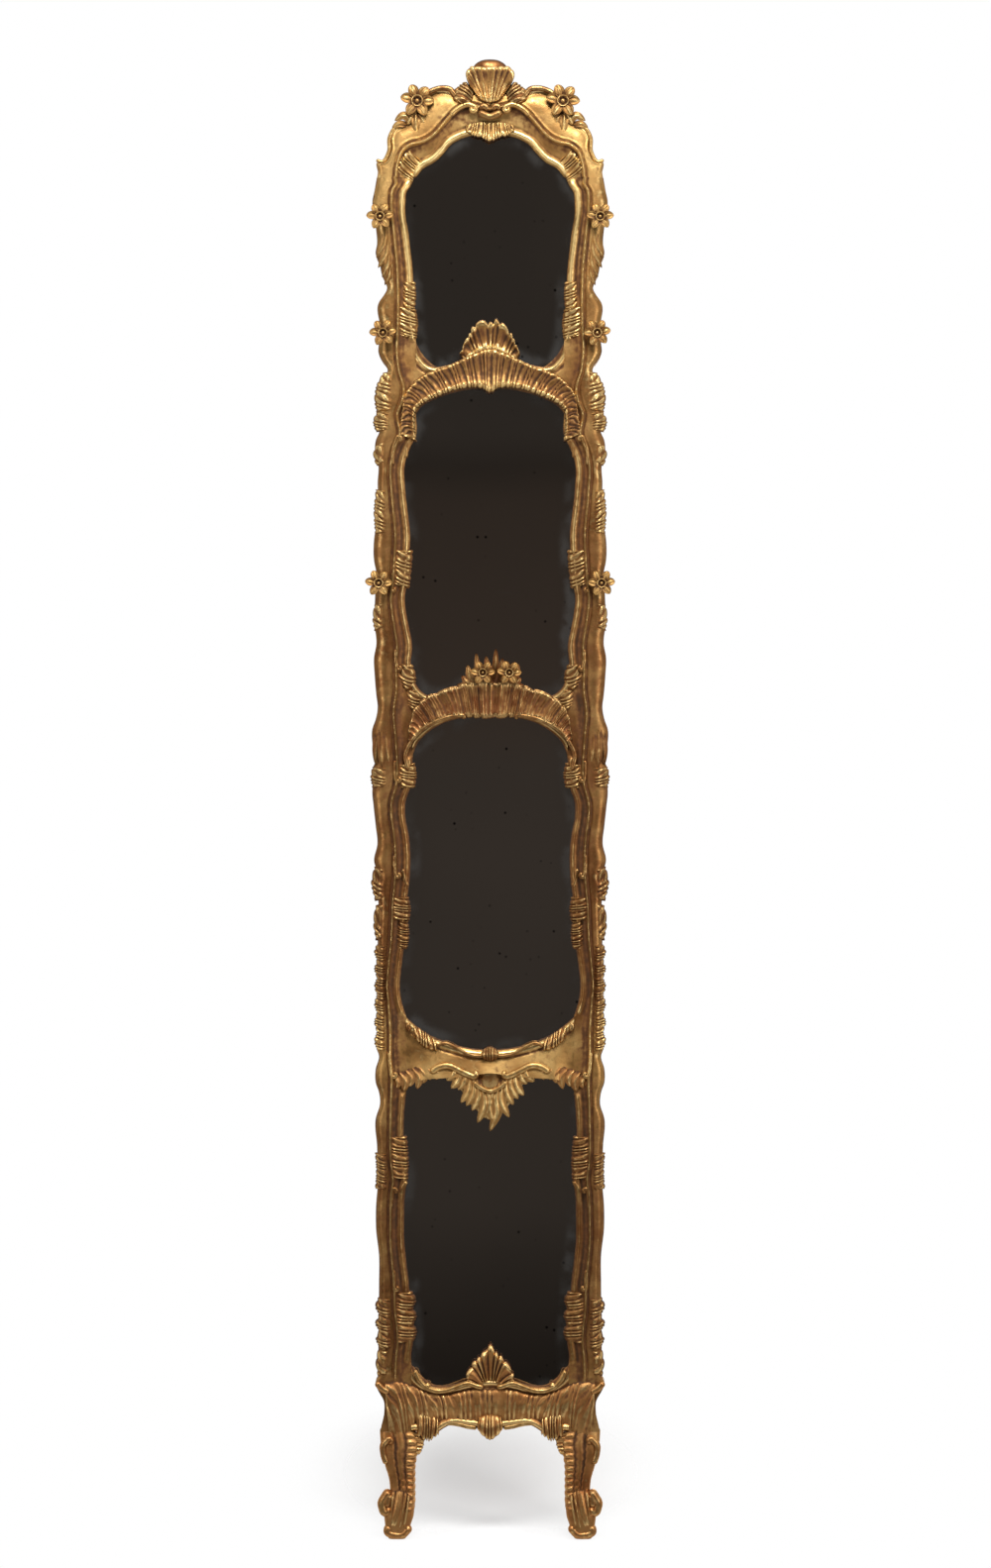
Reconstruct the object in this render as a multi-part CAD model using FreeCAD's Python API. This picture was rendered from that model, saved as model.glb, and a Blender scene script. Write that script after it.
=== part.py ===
"""Tall carved and gilded hall mirror, in millimetres.

Four mirror plates stand one above the other between two carved stiles. Carved rails part the
plates, an arched crest closes the frame at the top, and a ribbed apron and two short scrolled legs
carry it at the bottom. The plates lie in rebates at the back, under pine backboards held by brads.

X runs to the right, Y into the wall and Z up. The origin is on the floor, in the middle of the
width and of the depth. Depths are measured forwards from the back plane, which meets the wall.
"""
import FreeCAD, Part
import math
import os
from collections import namedtuple
from FreeCAD import Vector

Fan = namedtuple("Fan", "hub reach spread flutes narrowing")

# Heights of the zones that stack up from the floor
leg_height = 160.0
apron_zone = 100.0
bay_4_height = 415.0
rail_3_zone = 112.0
bay_3_height = 397.0
rail_2_zone = 120.0
bay_2_height = 397.0
rail_1_zone = 107.0
bay_1_height = 249.0
crest_height = 137.0
shell_rise = 44.0

# Widths across the frame
sight_width = 243.0
stile_width = 51.5
widest_wave = 14.5
rebate_lap = 8.0

# Depths from the back plane
overall_depth = 62.0
rebate_depth = 28.0
plate_relief = 9.0
crest_back = 8.0
glass_thickness = 4.0
backboard_thickness = 7.0
glass_lap = 6.0
fitting_gap = 1.0

# Moulding of the stiles, as heights above the glass seat and widths across
lip_relief = 6.0
bead_width = 7.0
bead_rise = 2.4
ridge_relief = 17.5
ridge_share = 0.46
hollow_sink = 2.6
rim_relief = 13.0
rim_width = 10.0
rim_rise = 2.6
rim_drop = 3.0

# Corners cut off the legs
leg_corner = 9.0

# Where each rail meets the stiles, as offsets from the mean sight edge
apron_shoulder = -2.5
rail_3_shoulder = 5.5
rail_2_shoulder = -4.5
rail_1_shoulder = -9.5
crest_shoulder = -5.5

# Joinery
tenon_length = 8.0
tenon_thickness = 9.0
tenon_shoulder = 2.0
crest_tenon = 15.0
leg_tenon = 18.0
end_tenon_width = 14.0
joint_gap = 0.1
peg_radius = 2.2
peg_length = 18.0
peg_sides = 8
bottom_rail_height = 34.0

# Square cut brads that hold the backboards
brad_width = 2.0
brad_length = 18.0
brad_shares = (0.12, 0.5, 0.88)

# Flutes of the shells and of the ribbed rails
flute_swell = 0.42
flute_vault = 0.72
flute_tip = 0.4
flute_body = 2.5
flute_facets = 3
hub_sides = 8
flute_sink = 1.0
rail_1_flutes = 20
rail_2_flutes = 18
apron_flutes = 20
rail_1_band = 40.0
rail_1_chord_share = 0.97
rail_1_rise_share = 0.36
rail_2_band = 34.0
rail_2_chord_share = 0.8
rail_2_rise_share = 0.175
apron_band = 42.0
apron_fan_radius = 520.0
apron_band_lift = 16.0

# Carved fans: radius of the hub, longest reach, half spread in degrees, flutes, narrowing at the sides
crest_shell_fan = Fan(10.0, 56.0, 50.0, 9, 0.08)
drop_shell_fan = Fan(9.0, 25.0, 80.0, 7, 0.0)
rail_1_spray_fan = Fan(7.0, 40.0, 75.0, 7, 0.3)
rail_2_spray_fan = Fan(7.0, 46.0, 80.0, 7, 0.25)
rail_3_pendant_fan = Fan(9.0, 80.0, 62.0, 7, 0.5)
apron_palmette_fan = Fan(8.0, 52.0, 62.0, 7, 0.3)
apron_drop_fan = Fan(7.0, 19.0, 75.0, 7, 0.1)
crest_shell_seat = 24.0
drop_shell_lift = 14.0
fan_clearance = 6.0
drop_clearance = 1.0
back_lobe_radius = 20.0
back_lobe_sides = 24

# Raised bands of the third rail and of the crest
scroll_band_width = 6.0
scroll_band_relief = 4.0
crest_scroll_width = 6.0
arch_rise = 74.0

# Flowers on pegs
flower_relief = 16.0
flower_seat_gap = 0.5
flower_peg_radius = 2.5
flower_peg_length = 8.0
flower_edge = 7.0
petal_count = 6
petal_swell = 0.3
petal_facets = 2
boss_share = 0.36
side_flower_radius = 20.0
crest_flower_radius = 25.0
centre_flower_radius = 18.0
crest_flower_x = 110.0
crest_flower_drop = 22.0
centre_flower_x = (-11.0, 29.0)
centre_flower_lift = 20.0
upper_flower_share = 0.755
middle_flower_share = 0.05
lower_flower_share = 0.35

# Recessed hanging rings behind the crest
hanger_spacing = 96.0
hanger_drop = 30.0
strap_width = 14.0
strap_length = 28.0
strap_thickness = 1.5
barrel_wall = 1.2
barrel_seat_gap = 0.2
ring_width = 3.5
ring_thickness = 2.5
ring_radius = 13.0
ring_corner = 5.0
ring_gap = 0.1
screw_radius = 1.6
screw_length = 12.0
screw_head_radius = 3.0
screw_drop = 18.0

# Levels and widths that follow
apron_bottom = leg_height
apron_top = apron_bottom + apron_zone
rail_3_bottom = apron_top + bay_4_height
rail_3_top = rail_3_bottom + rail_3_zone
rail_2_bottom = rail_3_top + bay_3_height
rail_2_top = rail_2_bottom + rail_2_zone
rail_1_bottom = rail_2_top + bay_2_height
rail_1_top = rail_1_bottom + rail_1_zone
crest_bottom = rail_1_top + bay_1_height
crest_top = crest_bottom + crest_height
overall_height = crest_top + shell_rise
sight_half = sight_width / 2
frame_half = sight_half + stile_width
rebate_half = sight_half + widest_wave + rebate_lap
glass_half = rebate_half - fitting_gap
back_plane = overall_depth / 2
plate_front = rebate_depth + plate_relief
flower_back = rebate_depth + ridge_relief + flower_seat_gap
glass_back = rebate_depth - glass_thickness
board_back = glass_back - backboard_thickness

# Edges of the rails from the shoulder to the centre: share of the half span, share of the zone
rail_1_low_edge = ((1, 0), (0.93, 0.1), (0.77, 0.2), (0.5, 0.3), (0.25, 0.35), (0, 0.36))
rail_1_high_edge = ((1, 1), (0.935, 0.8), (0.8, 0.67), (0.6, 0.68), (0.27, 0.82), (0, 0.92))
rail_2_low_edge = ((1, 0), (0.93, 0.16), (0.78, 0.3), (0.58, 0.41), (0.35, 0.465), (0, 0.475))
rail_2_high_edge = ((1, 1), (0.925, 0.84), (0.8, 0.75), (0.6, 0.77), (0.3, 0.88), (0, 0.93))
rail_3_low_edge = ((1, 0), (0.93, 0.1), (0.8, 0.16), (0.6, 0.18), (0.3, 0.2), (0, 0.25))
rail_3_high_edge = ((1, 1), (0.9, 0.9), (0.76, 0.78), (0.6, 0.69), (0.33, 0.595), (0, 0.56))
apron_low_edge = (
    (1, 0), (0.94, 0.01), (0.88, -0.05), (0.8, -0.1), (0.68, -0.02), (0.5, 0.1), (0.25, 0.08), (0, 0.04),
)
apron_high_edge = ((1, 1), (0.94, 0.84), (0.82, 0.72), (0.62, 0.68), (0.25, 0.76), (0, 0.8))
scroll_band_edge = ((0.97, 0.36), (0.8, 0.45), (0.6, 0.42), (0.4, 0.47), (0.16, 0.44), (0, 0.42))

# Outline of the crest in runs between its corners, its sight arch and its raised band
crest_outline = (
    ((1, 0), (0.99, 0.1), (1.0, 0.21)),
    ((1.0, 0.21), (0.92, 0.26), (0.885, 0.38), (0.885, 0.46), (0.87, 0.54)),
    ((0.87, 0.54), (0.8, 0.73), (0.68, 0.89), (0.62, 0.93), (0.55, 0.96)),
    ((0.55, 0.96), (0.43, 0.995), (0.31, 0.93)),
    ((0.31, 0.93), (0.2, 0.985), (0.1, 0.99), (0, 1.0)),
)
sight_arch = ((1, 0), (0.9, 0.1), (0.76, 0.18), (0.58, 0.29), (0.33, 0.455), (0, 0.5))
crest_scroll = ((0.7, 0.33), (0.57, 0.45), (0.43, 0.63), (0.3, 0.79), (0.1, 0.72))

# Leg sections: share of the height, inner offset, outer offset, depths of the back and the front
leg_sections = (
    (0.0, 4.5, -19.0, 0.0, 50.0),
    (0.05, -0.5, -12.5, 0.5, 55.5),
    (0.13, -4.5, -8.0, 1.5, 59.0),
    (0.24, -6.5, -6.0, 2.5, 60.0),
    (0.32, -6.5, -12.0, 4.0, 55.0),
    (0.42, -5.5, -20.0, 5.0, 49.0),
    (0.54, -5.5, -18.5, 4.5, 48.0),
    (0.7, -7.0, -11.0, 3.5, 50.0),
    (0.86, -8.5, -6.0, 1.5, 51.0),
    (1.0, -8.5, -5.0, 0.0, 48.0),
)

# Stile sections inside each zone: share of its height, inner offset, outer offset
apron_waves = ((0.4, apron_shoulder, -13.0), (0.75, apron_shoulder, -4.0))
bay_4_waves = (
    (0.08, -5.5, -3.0), (0.25, -0.5, -3.0), (0.42, 6.5, -5.0), (0.55, 8.5, 0.0),
    (0.67, 4.0, -3.0), (0.8, 8.5, -2.0), (0.93, 8.0, -4.0),
)
rail_3_waves = ((0.5, rail_3_shoulder, -4.0),)
bay_3_waves = (
    (0.12, widest_wave, -3.0), (0.25, 8.0, 1.0), (0.42, 4.5, 1.0), (0.58, -0.5, -3.0),
    (0.75, 5.5, 2.0), (0.87, 1.0, 4.0),
)
rail_2_waves = ((0.5, rail_2_shoulder, 0.0),)
bay_2_waves = (
    (0.12, -3.5, 2.0), (0.3, 7.0, 2.0), (0.52, -0.5, 2.0), (0.76, 6.5, 0.0), (0.9, -4.0, -1.0),
)
rail_1_waves = ((0.25, rail_1_shoulder, 0.0), (0.62, rail_1_shoulder, -15.0))
bay_1_waves = (
    (0.12, -6.0, -5.0), (0.34, -5.0, -16.0), (0.55, -2.5, -3.0), (0.75, 4.0, 0.0), (0.9, 5.5, -1.0),
)
stile_steps = (
    (apron_bottom, apron_shoulder, -4.0),
    (apron_top, apron_shoulder, -3.0),
    (rail_3_bottom, rail_3_shoulder, -5.0),
    (rail_3_top, rail_3_shoulder, -3.0),
    (rail_2_bottom, rail_2_shoulder, 4.0),
    (rail_2_top, rail_2_shoulder, 1.0),
    (rail_1_bottom, rail_1_shoulder, -1.0),
    (rail_1_top, rail_1_shoulder, -4.0),
    (crest_bottom, crest_shoulder, -1.5),
)
stile_waves = (
    apron_waves, bay_4_waves, rail_3_waves, bay_3_waves,
    rail_2_waves, bay_2_waves, rail_1_waves, bay_1_waves,
)


def at(x, depth, z):
    """Point at a depth in front of the back plane."""
    return Vector(x, back_plane - depth, z)


def block(x0, x1, depth0, depth1, z0, z1):
    """Box between two points given as x, depth and height."""
    return Part.makeBox(x1 - x0, depth1 - depth0, z1 - z0, at(x0, depth1, z0))


def rod(point, direction, radius, length):
    return Part.makeCylinder(radius, length, point, direction)


def sewn(faces):
    """Solid that a closed set of flat faces bounds."""
    shell = Part.makeCompound(faces)
    shell.sewShape()
    solid = Part.makeSolid(shell.Shells[0])
    if solid.Volume < 0:
        solid.reverse()
    return solid


def flat(points):
    return Part.Face(Part.makePolygon([*points, points[0]]))


def taper(x, z, depth0, depth1, radius0, radius1, sides):
    """Rod with flat sides that runs forwards, and may narrow."""
    turns = [2 * math.pi * i / sides for i in range(sides)]
    back, front = [[at(x + radius * math.cos(t), depth, z + radius * math.sin(t)) for t in turns]
                   for depth, radius in ((depth0, radius0), (depth1, radius1))]
    walls = [flat([back[i - 1], back[i], front[i], front[i - 1]]) for i in range(sides)]
    return sewn([flat(back), flat(front), *walls])


def skin(low, high):
    """Flat triangles between two rows of points that match in number."""
    faces = []
    for a, b, c, d in zip(low, low[1:], high[1:], high):
        faces.append(flat([a, b, c]))
        faces.append(flat([a, c, d]))
    return faces


def fuse(shapes):
    """One solid from shapes that touch or overlap."""
    joined = shapes[0].multiFuse(list(shapes[1:]))
    return joined.Solids[0] if len(joined.Solids) == 1 else joined


def mirrored(shape):
    return shape.mirror(Vector(0, 0, 0), Vector(1, 0, 0))


def pair(shape):
    """A right-hand shape with its left-hand twin."""
    return Part.makeCompound([mirrored(shape), shape])


def arcs(points):
    """Chain of arcs, each through three points in turn."""
    return [Part.Arc(*points[i:i + 3]).toShape() for i in range(0, len(points) - 2, 2)]


def prism(edges, depth0, depth1):
    """Solid with a flat outline at depth0, extruded forwards to depth1."""
    face = Part.Face(Part.Wire(Part.sortEdges(edges)[0]))
    return face.extrude(Vector(0, depth0 - depth1, 0))


def both_sides(half_points):
    """Points from the left end to the right end, from the right half that ends at the centre."""
    left = [Vector(-p.x, p.y, p.z) for p in half_points]
    return left + list(reversed(half_points[:-1]))


# Stiles
def stile_section(z, inner_offset, outer_offset):
    """Closed section of the right-hand stile: rebate, sight bead, ridge, hollow and rim."""
    inner = sight_half + inner_offset
    outer = frame_half + outer_offset
    ridge = inner + ridge_share * (outer - inner)
    lip = rebate_depth + lip_relief
    crown = rebate_depth + ridge_relief
    rim = rebate_depth + rim_relief
    bead_end = inner + bead_width
    rim_in = outer - rim_width
    hollow = (ridge + rim_in) / 2
    profile = [
        (outer, rim - rim_drop), (outer, 0), (rebate_half, 0), (rebate_half, rebate_depth),
        (inner, rebate_depth), (inner, lip), ((inner + bead_end) / 2, lip + bead_rise),
        (bead_end, lip), (ridge, crown), (hollow, (crown + rim) / 2 - hollow_sink), (rim_in, rim),
        (outer - rim_width / 3, rim + rim_rise), (outer, rim - rim_drop),
    ]
    return Part.makePolygon([at(x, depth, z) for x, depth in profile])


def stile_blank():
    """Right-hand stile, lofted zone by zone from the apron to the crest."""
    lofts = []
    for low, high, waves in zip(stile_steps, stile_steps[1:], stile_waves):
        height = high[0] - low[0]
        inside = [(low[0] + share * height, inner, outer) for share, inner, outer in waves]
        sections = [stile_section(*step) for step in (low, *inside, high)]
        lofts.append(Part.makeLoft(sections, True, False))
    return fuse(lofts)


def outer_edge(z):
    """Half width of the frame at a height, on straight lines between the stile's sections."""
    steps = []
    for low, high, waves in zip(stile_steps, stile_steps[1:], stile_waves):
        steps.append((low[0], low[2]))
        steps += [(low[0] + share * (high[0] - low[0]), outer) for share, _, outer in waves]
    steps.append((stile_steps[-1][0], stile_steps[-1][2]))
    for (z0, offset0), (z1, offset1) in zip(steps, steps[1:]):
        if z0 <= z <= z1:
            return frame_half + offset0 + (offset1 - offset0) * (z - z0) / (z1 - z0)
    return frame_half


# Rails
def edge_curve(edge, half_span, base, zone):
    points = [at(t * half_span, rebate_depth, base + s * zone) for t, s in edge]
    return arcs(both_sides(points))


def rail_plate(low_edge, high_edge, half_span, base, zone):
    """Front of a rail: a plate with shaped edges between two straight shoulders."""
    low = edge_curve(low_edge, half_span, base, zone)
    high = edge_curve(high_edge, half_span, base, zone)
    ends = [Part.LineSegment(at(side * half_span, rebate_depth, base),
                             at(side * half_span, rebate_depth, base + zone)).toShape()
            for side in (-1, 1)]
    return prism([*low, *high, *ends], rebate_depth, plate_front)


def rail_bar(z0, z1):
    """Bar behind a rail's plate, between the rebates, with a stub tenon at each end."""
    bar = block(-rebate_half, rebate_half, 0, rebate_depth, z0, z1)
    reach = rebate_half + tenon_length
    return fuse([bar, block(-reach, reach, *tenon_depths(), z0 + tenon_shoulder, z1 - tenon_shoulder)])


def tenon_depths():
    middle = rebate_depth / 2
    return middle - tenon_thickness / 2, middle + tenon_thickness / 2


def mortise(z0, z1):
    """Hole in the right-hand stile for the tenon of the bar between two heights."""
    depth0, depth1 = tenon_depths()
    return block(rebate_half - joint_gap, rebate_half + tenon_length + joint_gap, depth0 - joint_gap,
                 depth1 + joint_gap, z0 + tenon_shoulder - joint_gap, z1 - tenon_shoulder + joint_gap)


def fluted(x, z, seat, turn, spread, flutes, inner, reach, swell=flute_swell, facets=flute_facets):
    """Solid fan of flutes on a flat seat, with round tips.

    The flutes spread from (x, z) to both sides of the direction turn, which is measured from
    straight up. Each is a vault from a small arch near the centre to a larger one, and runs out to
    its tip. reach gives the length of the valleys at an angle from the middle of the fan.
    """
    rays = [turn + spread * (2 * i / flutes - 1) for i in range(flutes + 1)]
    front = seat + flute_body

    def spot(angle, radius, depth):
        return at(x + radius * math.sin(angle), depth, z + radius * math.cos(angle))

    def vault_radius(far):
        return inner + flute_vault * (far - inner)

    def arched(start, stop, outward, share):
        """Points on half an ellipse over a chord."""
        rise = outward * (share * start.distanceToPoint(stop))
        turns = [math.pi * i / facets for i in range(facets + 1)]
        return [start + (stop - start) * ((1 - math.cos(t)) / 2) + rise * math.sin(t) for t in turns]

    def vault(a, b, radius_a, radius_b):
        return arched(spot(a, radius_a, front), spot(b, radius_b, front), Vector(0, -1, 0), swell)

    def tip(a, b, far_a, far_b, depth):
        outward = spot((a + b) / 2, 1, depth) - at(x, depth, z)
        return arched(spot(a, far_a, depth), spot(b, far_b, depth), outward, flute_tip)

    faces = []
    for a, b in zip(rays, rays[1:]):
        far_a = reach(a - turn)
        far_b = reach(b - turn)
        near = vault(a, b, inner, inner)
        middle = vault(a, b, vault_radius(far_a), vault_radius(far_b))
        low_tip = tip(a, b, far_a, far_b, seat)
        high_tip = tip(a, b, far_a, far_b, front)
        foot = [spot(b, inner, seat), spot(a, inner, seat)]
        faces += skin(near, middle) + skin(middle, high_tip) + skin(high_tip, low_tip)
        faces.append(flat([*near, *foot]))
        faces.append(flat([*low_tip, *foot]))
    if spread < math.pi:
        for ray in (rays[0], rays[-1]):
            far = reach(ray - turn)
            faces.append(flat([spot(ray, inner, seat), spot(ray, far, seat), spot(ray, far, front),
                               spot(ray, vault_radius(far), front), spot(ray, inner, front)]))
    return sewn(faces)


def arch_radius(half_chord, rise):
    return (half_chord ** 2 + rise ** 2) / (2 * rise)


def bar_levels():
    """Bottom and top of each bar, from the plates' edges that lap the glass above and below."""
    margin = glass_lap + fitting_gap
    rails = ((rail_1_bottom, rail_1_zone, rail_1_low_edge, rail_1_high_edge),
             (rail_2_bottom, rail_2_zone, rail_2_low_edge, rail_2_high_edge),
             (rail_3_bottom, rail_3_zone, rail_3_low_edge, rail_3_high_edge))
    levels = [(base + zone * max(s for _, s in low) + margin,
               base + zone * min(s for _, s in high) - margin) for base, zone, low, high in rails]
    bottom_bar_top = apron_bottom + apron_zone * min(s for _, s in apron_high_edge) - margin
    return levels + [(bottom_bar_top - bottom_rail_height, bottom_bar_top)]


def shell_rail(low_edge, high_edge, shoulder, base, zone, bar, chord_share, rise_share, band_width, flutes):
    """Rail whose plate carries an arched band of shell flutes."""
    half_span = sight_half + shoulder
    plate = rail_plate(low_edge, high_edge, half_span, base, zone)
    half_chord = chord_share * half_span
    radius = arch_radius(half_chord, rise_share * zone)
    centre = base + zone * low_edge[-1][1] - radius
    band = fluted(0, centre, plate_front - flute_sink, 0, math.asin(half_chord / radius), flutes, radius,
                  lambda angle: radius + band_width)
    return fuse([plate, rail_bar(*bar), band.common(between_shoulders(half_span))])


def between_shoulders(half_span):
    return block(-half_span, half_span, 0, overall_depth, 0, overall_height)


def raised_band(edge, half_span, base, zone, width, relief):
    """Strip that follows an edge and stands in front of a plate."""
    low = [at(t * half_span, plate_front, base + s * zone) for t, s in edge]
    high = [p + Vector(0, 0, width) for p in low]
    ends = [Part.LineSegment(low[0], high[0]).toShape(),
            Part.LineSegment(Vector(-low[0].x, low[0].y, low[0].z),
                             Vector(-high[0].x, high[0].y, high[0].z)).toShape()]
    return prism([*arcs(both_sides(low)), *arcs(both_sides(high)), *ends],
                 plate_front, plate_front + relief)


def smooth_rail(bar):
    """Rail with a plain gilded ground and one serpentine band."""
    half_span = sight_half + rail_3_shoulder
    plate = rail_plate(rail_3_low_edge, rail_3_high_edge, half_span, rail_3_bottom, rail_3_zone)
    band = raised_band(scroll_band_edge, half_span, rail_3_bottom, rail_3_zone,
                       scroll_band_width, scroll_band_relief)
    return fuse([plate, rail_bar(*bar), band])


def apron_rail(bar):
    """Bottom rail with upright shell flutes over a serpentine lower edge."""
    half_span = sight_half + apron_shoulder
    plate = rail_plate(apron_low_edge, apron_high_edge, half_span, apron_bottom, apron_zone)
    radius = apron_fan_radius
    band = fluted(0, apron_bottom + apron_band_lift - radius, plate_front - flute_sink, 0,
                  math.asin(half_span / radius), apron_flutes, radius,
                  lambda angle: radius + apron_band)
    return fuse([plate, rail_bar(*bar), band.common(between_shoulders(half_span))])


# Crest
def crest_point(x_share, z_share, depth, half):
    return at(x_share * half, depth, crest_bottom + z_share * crest_height)


def glass_arch(half_width, rise, depth):
    """Arc over the top plate, from one stile to the other, with its chord."""
    left = at(-half_width, depth, crest_bottom)
    right = at(half_width, depth, crest_bottom)
    top = at(0, depth, crest_bottom + rise)
    return [Part.Arc(left, top, right).toShape(), Part.LineSegment(right, left).toShape()]


def crest():
    """Arched crest: spurred outline, sight arch, and the rebate for the top plate behind it."""
    half = frame_half + stile_steps[-1][2]
    outline = []
    for run in crest_outline:
        points = [crest_point(t, s, crest_back, half) for t, s in run]
        if run is crest_outline[-1]:
            outline += arcs(both_sides(points))
        else:
            outline += arcs(points)
            outline += arcs([Vector(-p.x, p.y, p.z) for p in points])
    outline.append(Part.LineSegment(crest_point(-1, 0, crest_back, half),
                                    crest_point(1, 0, crest_back, half)).toShape())
    body = prism(outline, crest_back, plate_front)
    shoulder = sight_half + crest_shoulder
    arch = [crest_point(t, s, 0, shoulder) for t, s in sight_arch]
    chord = Part.LineSegment(crest_point(-1, 0, 0, shoulder), crest_point(1, 0, 0, shoulder)).toShape()
    body = body.cut(prism([*arcs(both_sides(arch)), chord], 0, overall_depth))
    body = body.cut(prism(glass_arch(rebate_half, arch_rise + fitting_gap, 0), 0, rebate_depth))
    scroll = [crest_point(t, s, plate_front, frame_half) for t, s in crest_scroll]
    lift = Vector(0, 0, crest_scroll_width)
    above = [p + lift for p in scroll]
    ends = [Part.LineSegment(scroll[i], above[i]).toShape() for i in (0, -1)]
    band = prism([*arcs(scroll), *arcs(above), *ends], plate_front, plate_front + scroll_band_relief)
    return fuse([body.Solids[0], band, mirrored(band)])


def end_tenon(z, length, gap):
    """Tenon at an end of the right-hand stile, or the hole that takes it when gap is over zero."""
    depth0, depth1 = tenon_depths()
    x0 = rebate_half + tenon_shoulder
    return block(x0 - gap, x0 + end_tenon_width + gap, depth0 - gap, depth1 + gap, z, z + length + gap)


# Legs
def leg_section(share, inner_offset, outer_offset, depth0, depth1):
    """Rectangle with cut corners at a share of the leg's height."""
    z = share * leg_height
    x0 = sight_half + inner_offset
    x1 = frame_half + outer_offset
    corners = [
        (x0, depth0 + leg_corner), (x0 + leg_corner, depth0), (x1 - leg_corner, depth0),
        (x1, depth0 + leg_corner), (x1, depth1 - leg_corner), (x1 - leg_corner, depth1),
        (x0 + leg_corner, depth1), (x0, depth1 - leg_corner),
    ]
    return [at(x, depth, z) for x, depth in corners]


def leg():
    """Right-hand scrolled leg with a tenon that goes up into the stile."""
    rings = [leg_section(*section) for section in leg_sections]
    faces = [flat(rings[0]), flat(rings[-1])]
    for low, high in zip(rings, rings[1:]):
        faces += [flat([low[i - 1], low[i], high[i], high[i - 1]]) for i in range(len(low))]
    return fuse([sewn(faces), end_tenon(leg_height, leg_tenon, 0)])


# Carved ornaments
def fan(z, turn, size):
    """Fluted fan that spreads from a round hub on the front of a rail."""
    spread = math.radians(size.spread)
    flutes = fluted(0, z, plate_front, turn, spread, size.flutes, size.hub / 2,
                    lambda angle: size.reach * (1 - size.narrowing * (angle / spread) ** 2))
    hub = taper(0, z, plate_front, plate_front + size.hub, size.hub, size.hub / 2, hub_sides)
    return fuse([flutes, hub])


def flower(x, z, radius, seat):
    """Flower on a peg: a ring of vaulted petals round a boss."""
    boss = boss_share * radius
    valley = radius / (1 + flute_tip)
    petals = fluted(x, z, seat, 0, math.pi, petal_count, boss / 2, lambda angle: valley, petal_swell,
                    petal_facets)
    bud = taper(x, z, seat, seat + flower_relief, boss, boss / 2, petal_count)
    peg = taper(x, z, seat - flower_peg_length, seat, flower_peg_radius, flower_peg_radius, peg_sides)
    return fuse([petals, bud, peg])


def peg_hole(x, z, seat):
    radius = flower_peg_radius + joint_gap
    return taper(x, z, seat - flower_peg_length - joint_gap, seat, radius, radius, peg_sides)


# Hanging rings
eye_z = crest_top - hanger_drop
eye_radius = math.hypot(ring_width, ring_thickness) / 2 + ring_gap
barrel_radius = eye_radius + barrel_wall
eye_depth = crest_back - barrel_radius - barrel_seat_gap
strap_back = crest_back - strap_thickness


def hanger_strap(x):
    """Iron strap, rolled at its top into a barrel for the ring, with a hole for its screw."""
    left = x - strap_width / 2
    plate = block(left, x + strap_width / 2, strap_back, crest_back, eye_z - strap_length, eye_z)
    barrel = rod(at(left, eye_depth, eye_z), Vector(1, 0, 0), barrel_radius, strap_width)
    eye = rod(at(left, eye_depth, eye_z), Vector(1, 0, 0), eye_radius, strap_width)
    return fuse([plate, barrel]).cut([eye, screw(x, joint_gap)])


def screw(x, gap):
    """Countersunk screw flush with the strap, or the hole for it when gap is over zero."""
    z = eye_z - screw_drop
    radius = screw_radius + gap
    shank = taper(x, z, strap_back, strap_back + screw_length + gap, radius, radius, peg_sides)
    head = taper(x, z, strap_back, crest_back, screw_head_radius + gap, radius, peg_sides)
    return fuse([shank, head])


def ring_outline(x, grow):
    """Outline of the flat ring at a distance from its middle line: a straight bar closed by a bow."""
    bar = ring_radius - ring_corner
    corner = ring_corner + grow
    bow = ring_radius + grow
    bend = corner * math.sqrt(0.5)
    low = eye_z - ring_corner
    back = eye_depth - ring_thickness / 2
    edges = [Part.LineSegment(at(x - bar, back, eye_z + grow), at(x + bar, back, eye_z + grow)),
             Part.Arc(at(x + bow, back, low), at(x, back, low - bow), at(x - bow, back, low))]
    for side in (-1, 1):
        edges.append(Part.Arc(at(x + side * bar, back, eye_z + grow),
                              at(x + side * (bar + bend), back, low + bend),
                              at(x + side * bow, back, low)))
    return [edge.toShape() for edge in edges]


def hanger_ring(x):
    """Flat iron ring whose bar turns in the strap's barrel."""
    front = eye_depth + ring_thickness / 2
    back = eye_depth - ring_thickness / 2
    outer = prism(ring_outline(x, ring_width / 2), back, front)
    return outer.cut(prism(ring_outline(x, -ring_width / 2), back, front))


# Assembly
def brad(z, gap):
    """Square brad across the rebate, flat on the backboard, or the hole for it when gap is over zero."""
    x = rebate_half - brad_length / 2
    half = brad_width / 2
    middle = board_back - half
    return block(x - gap, x + brad_length + gap, middle - half - gap, middle + half + gap, z - half - gap,
                 z + half + gap)


def centre_of(base, zone, edge):
    """Height of an edge at the middle of its rail."""
    return base + zone * edge[-1][1]


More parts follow.
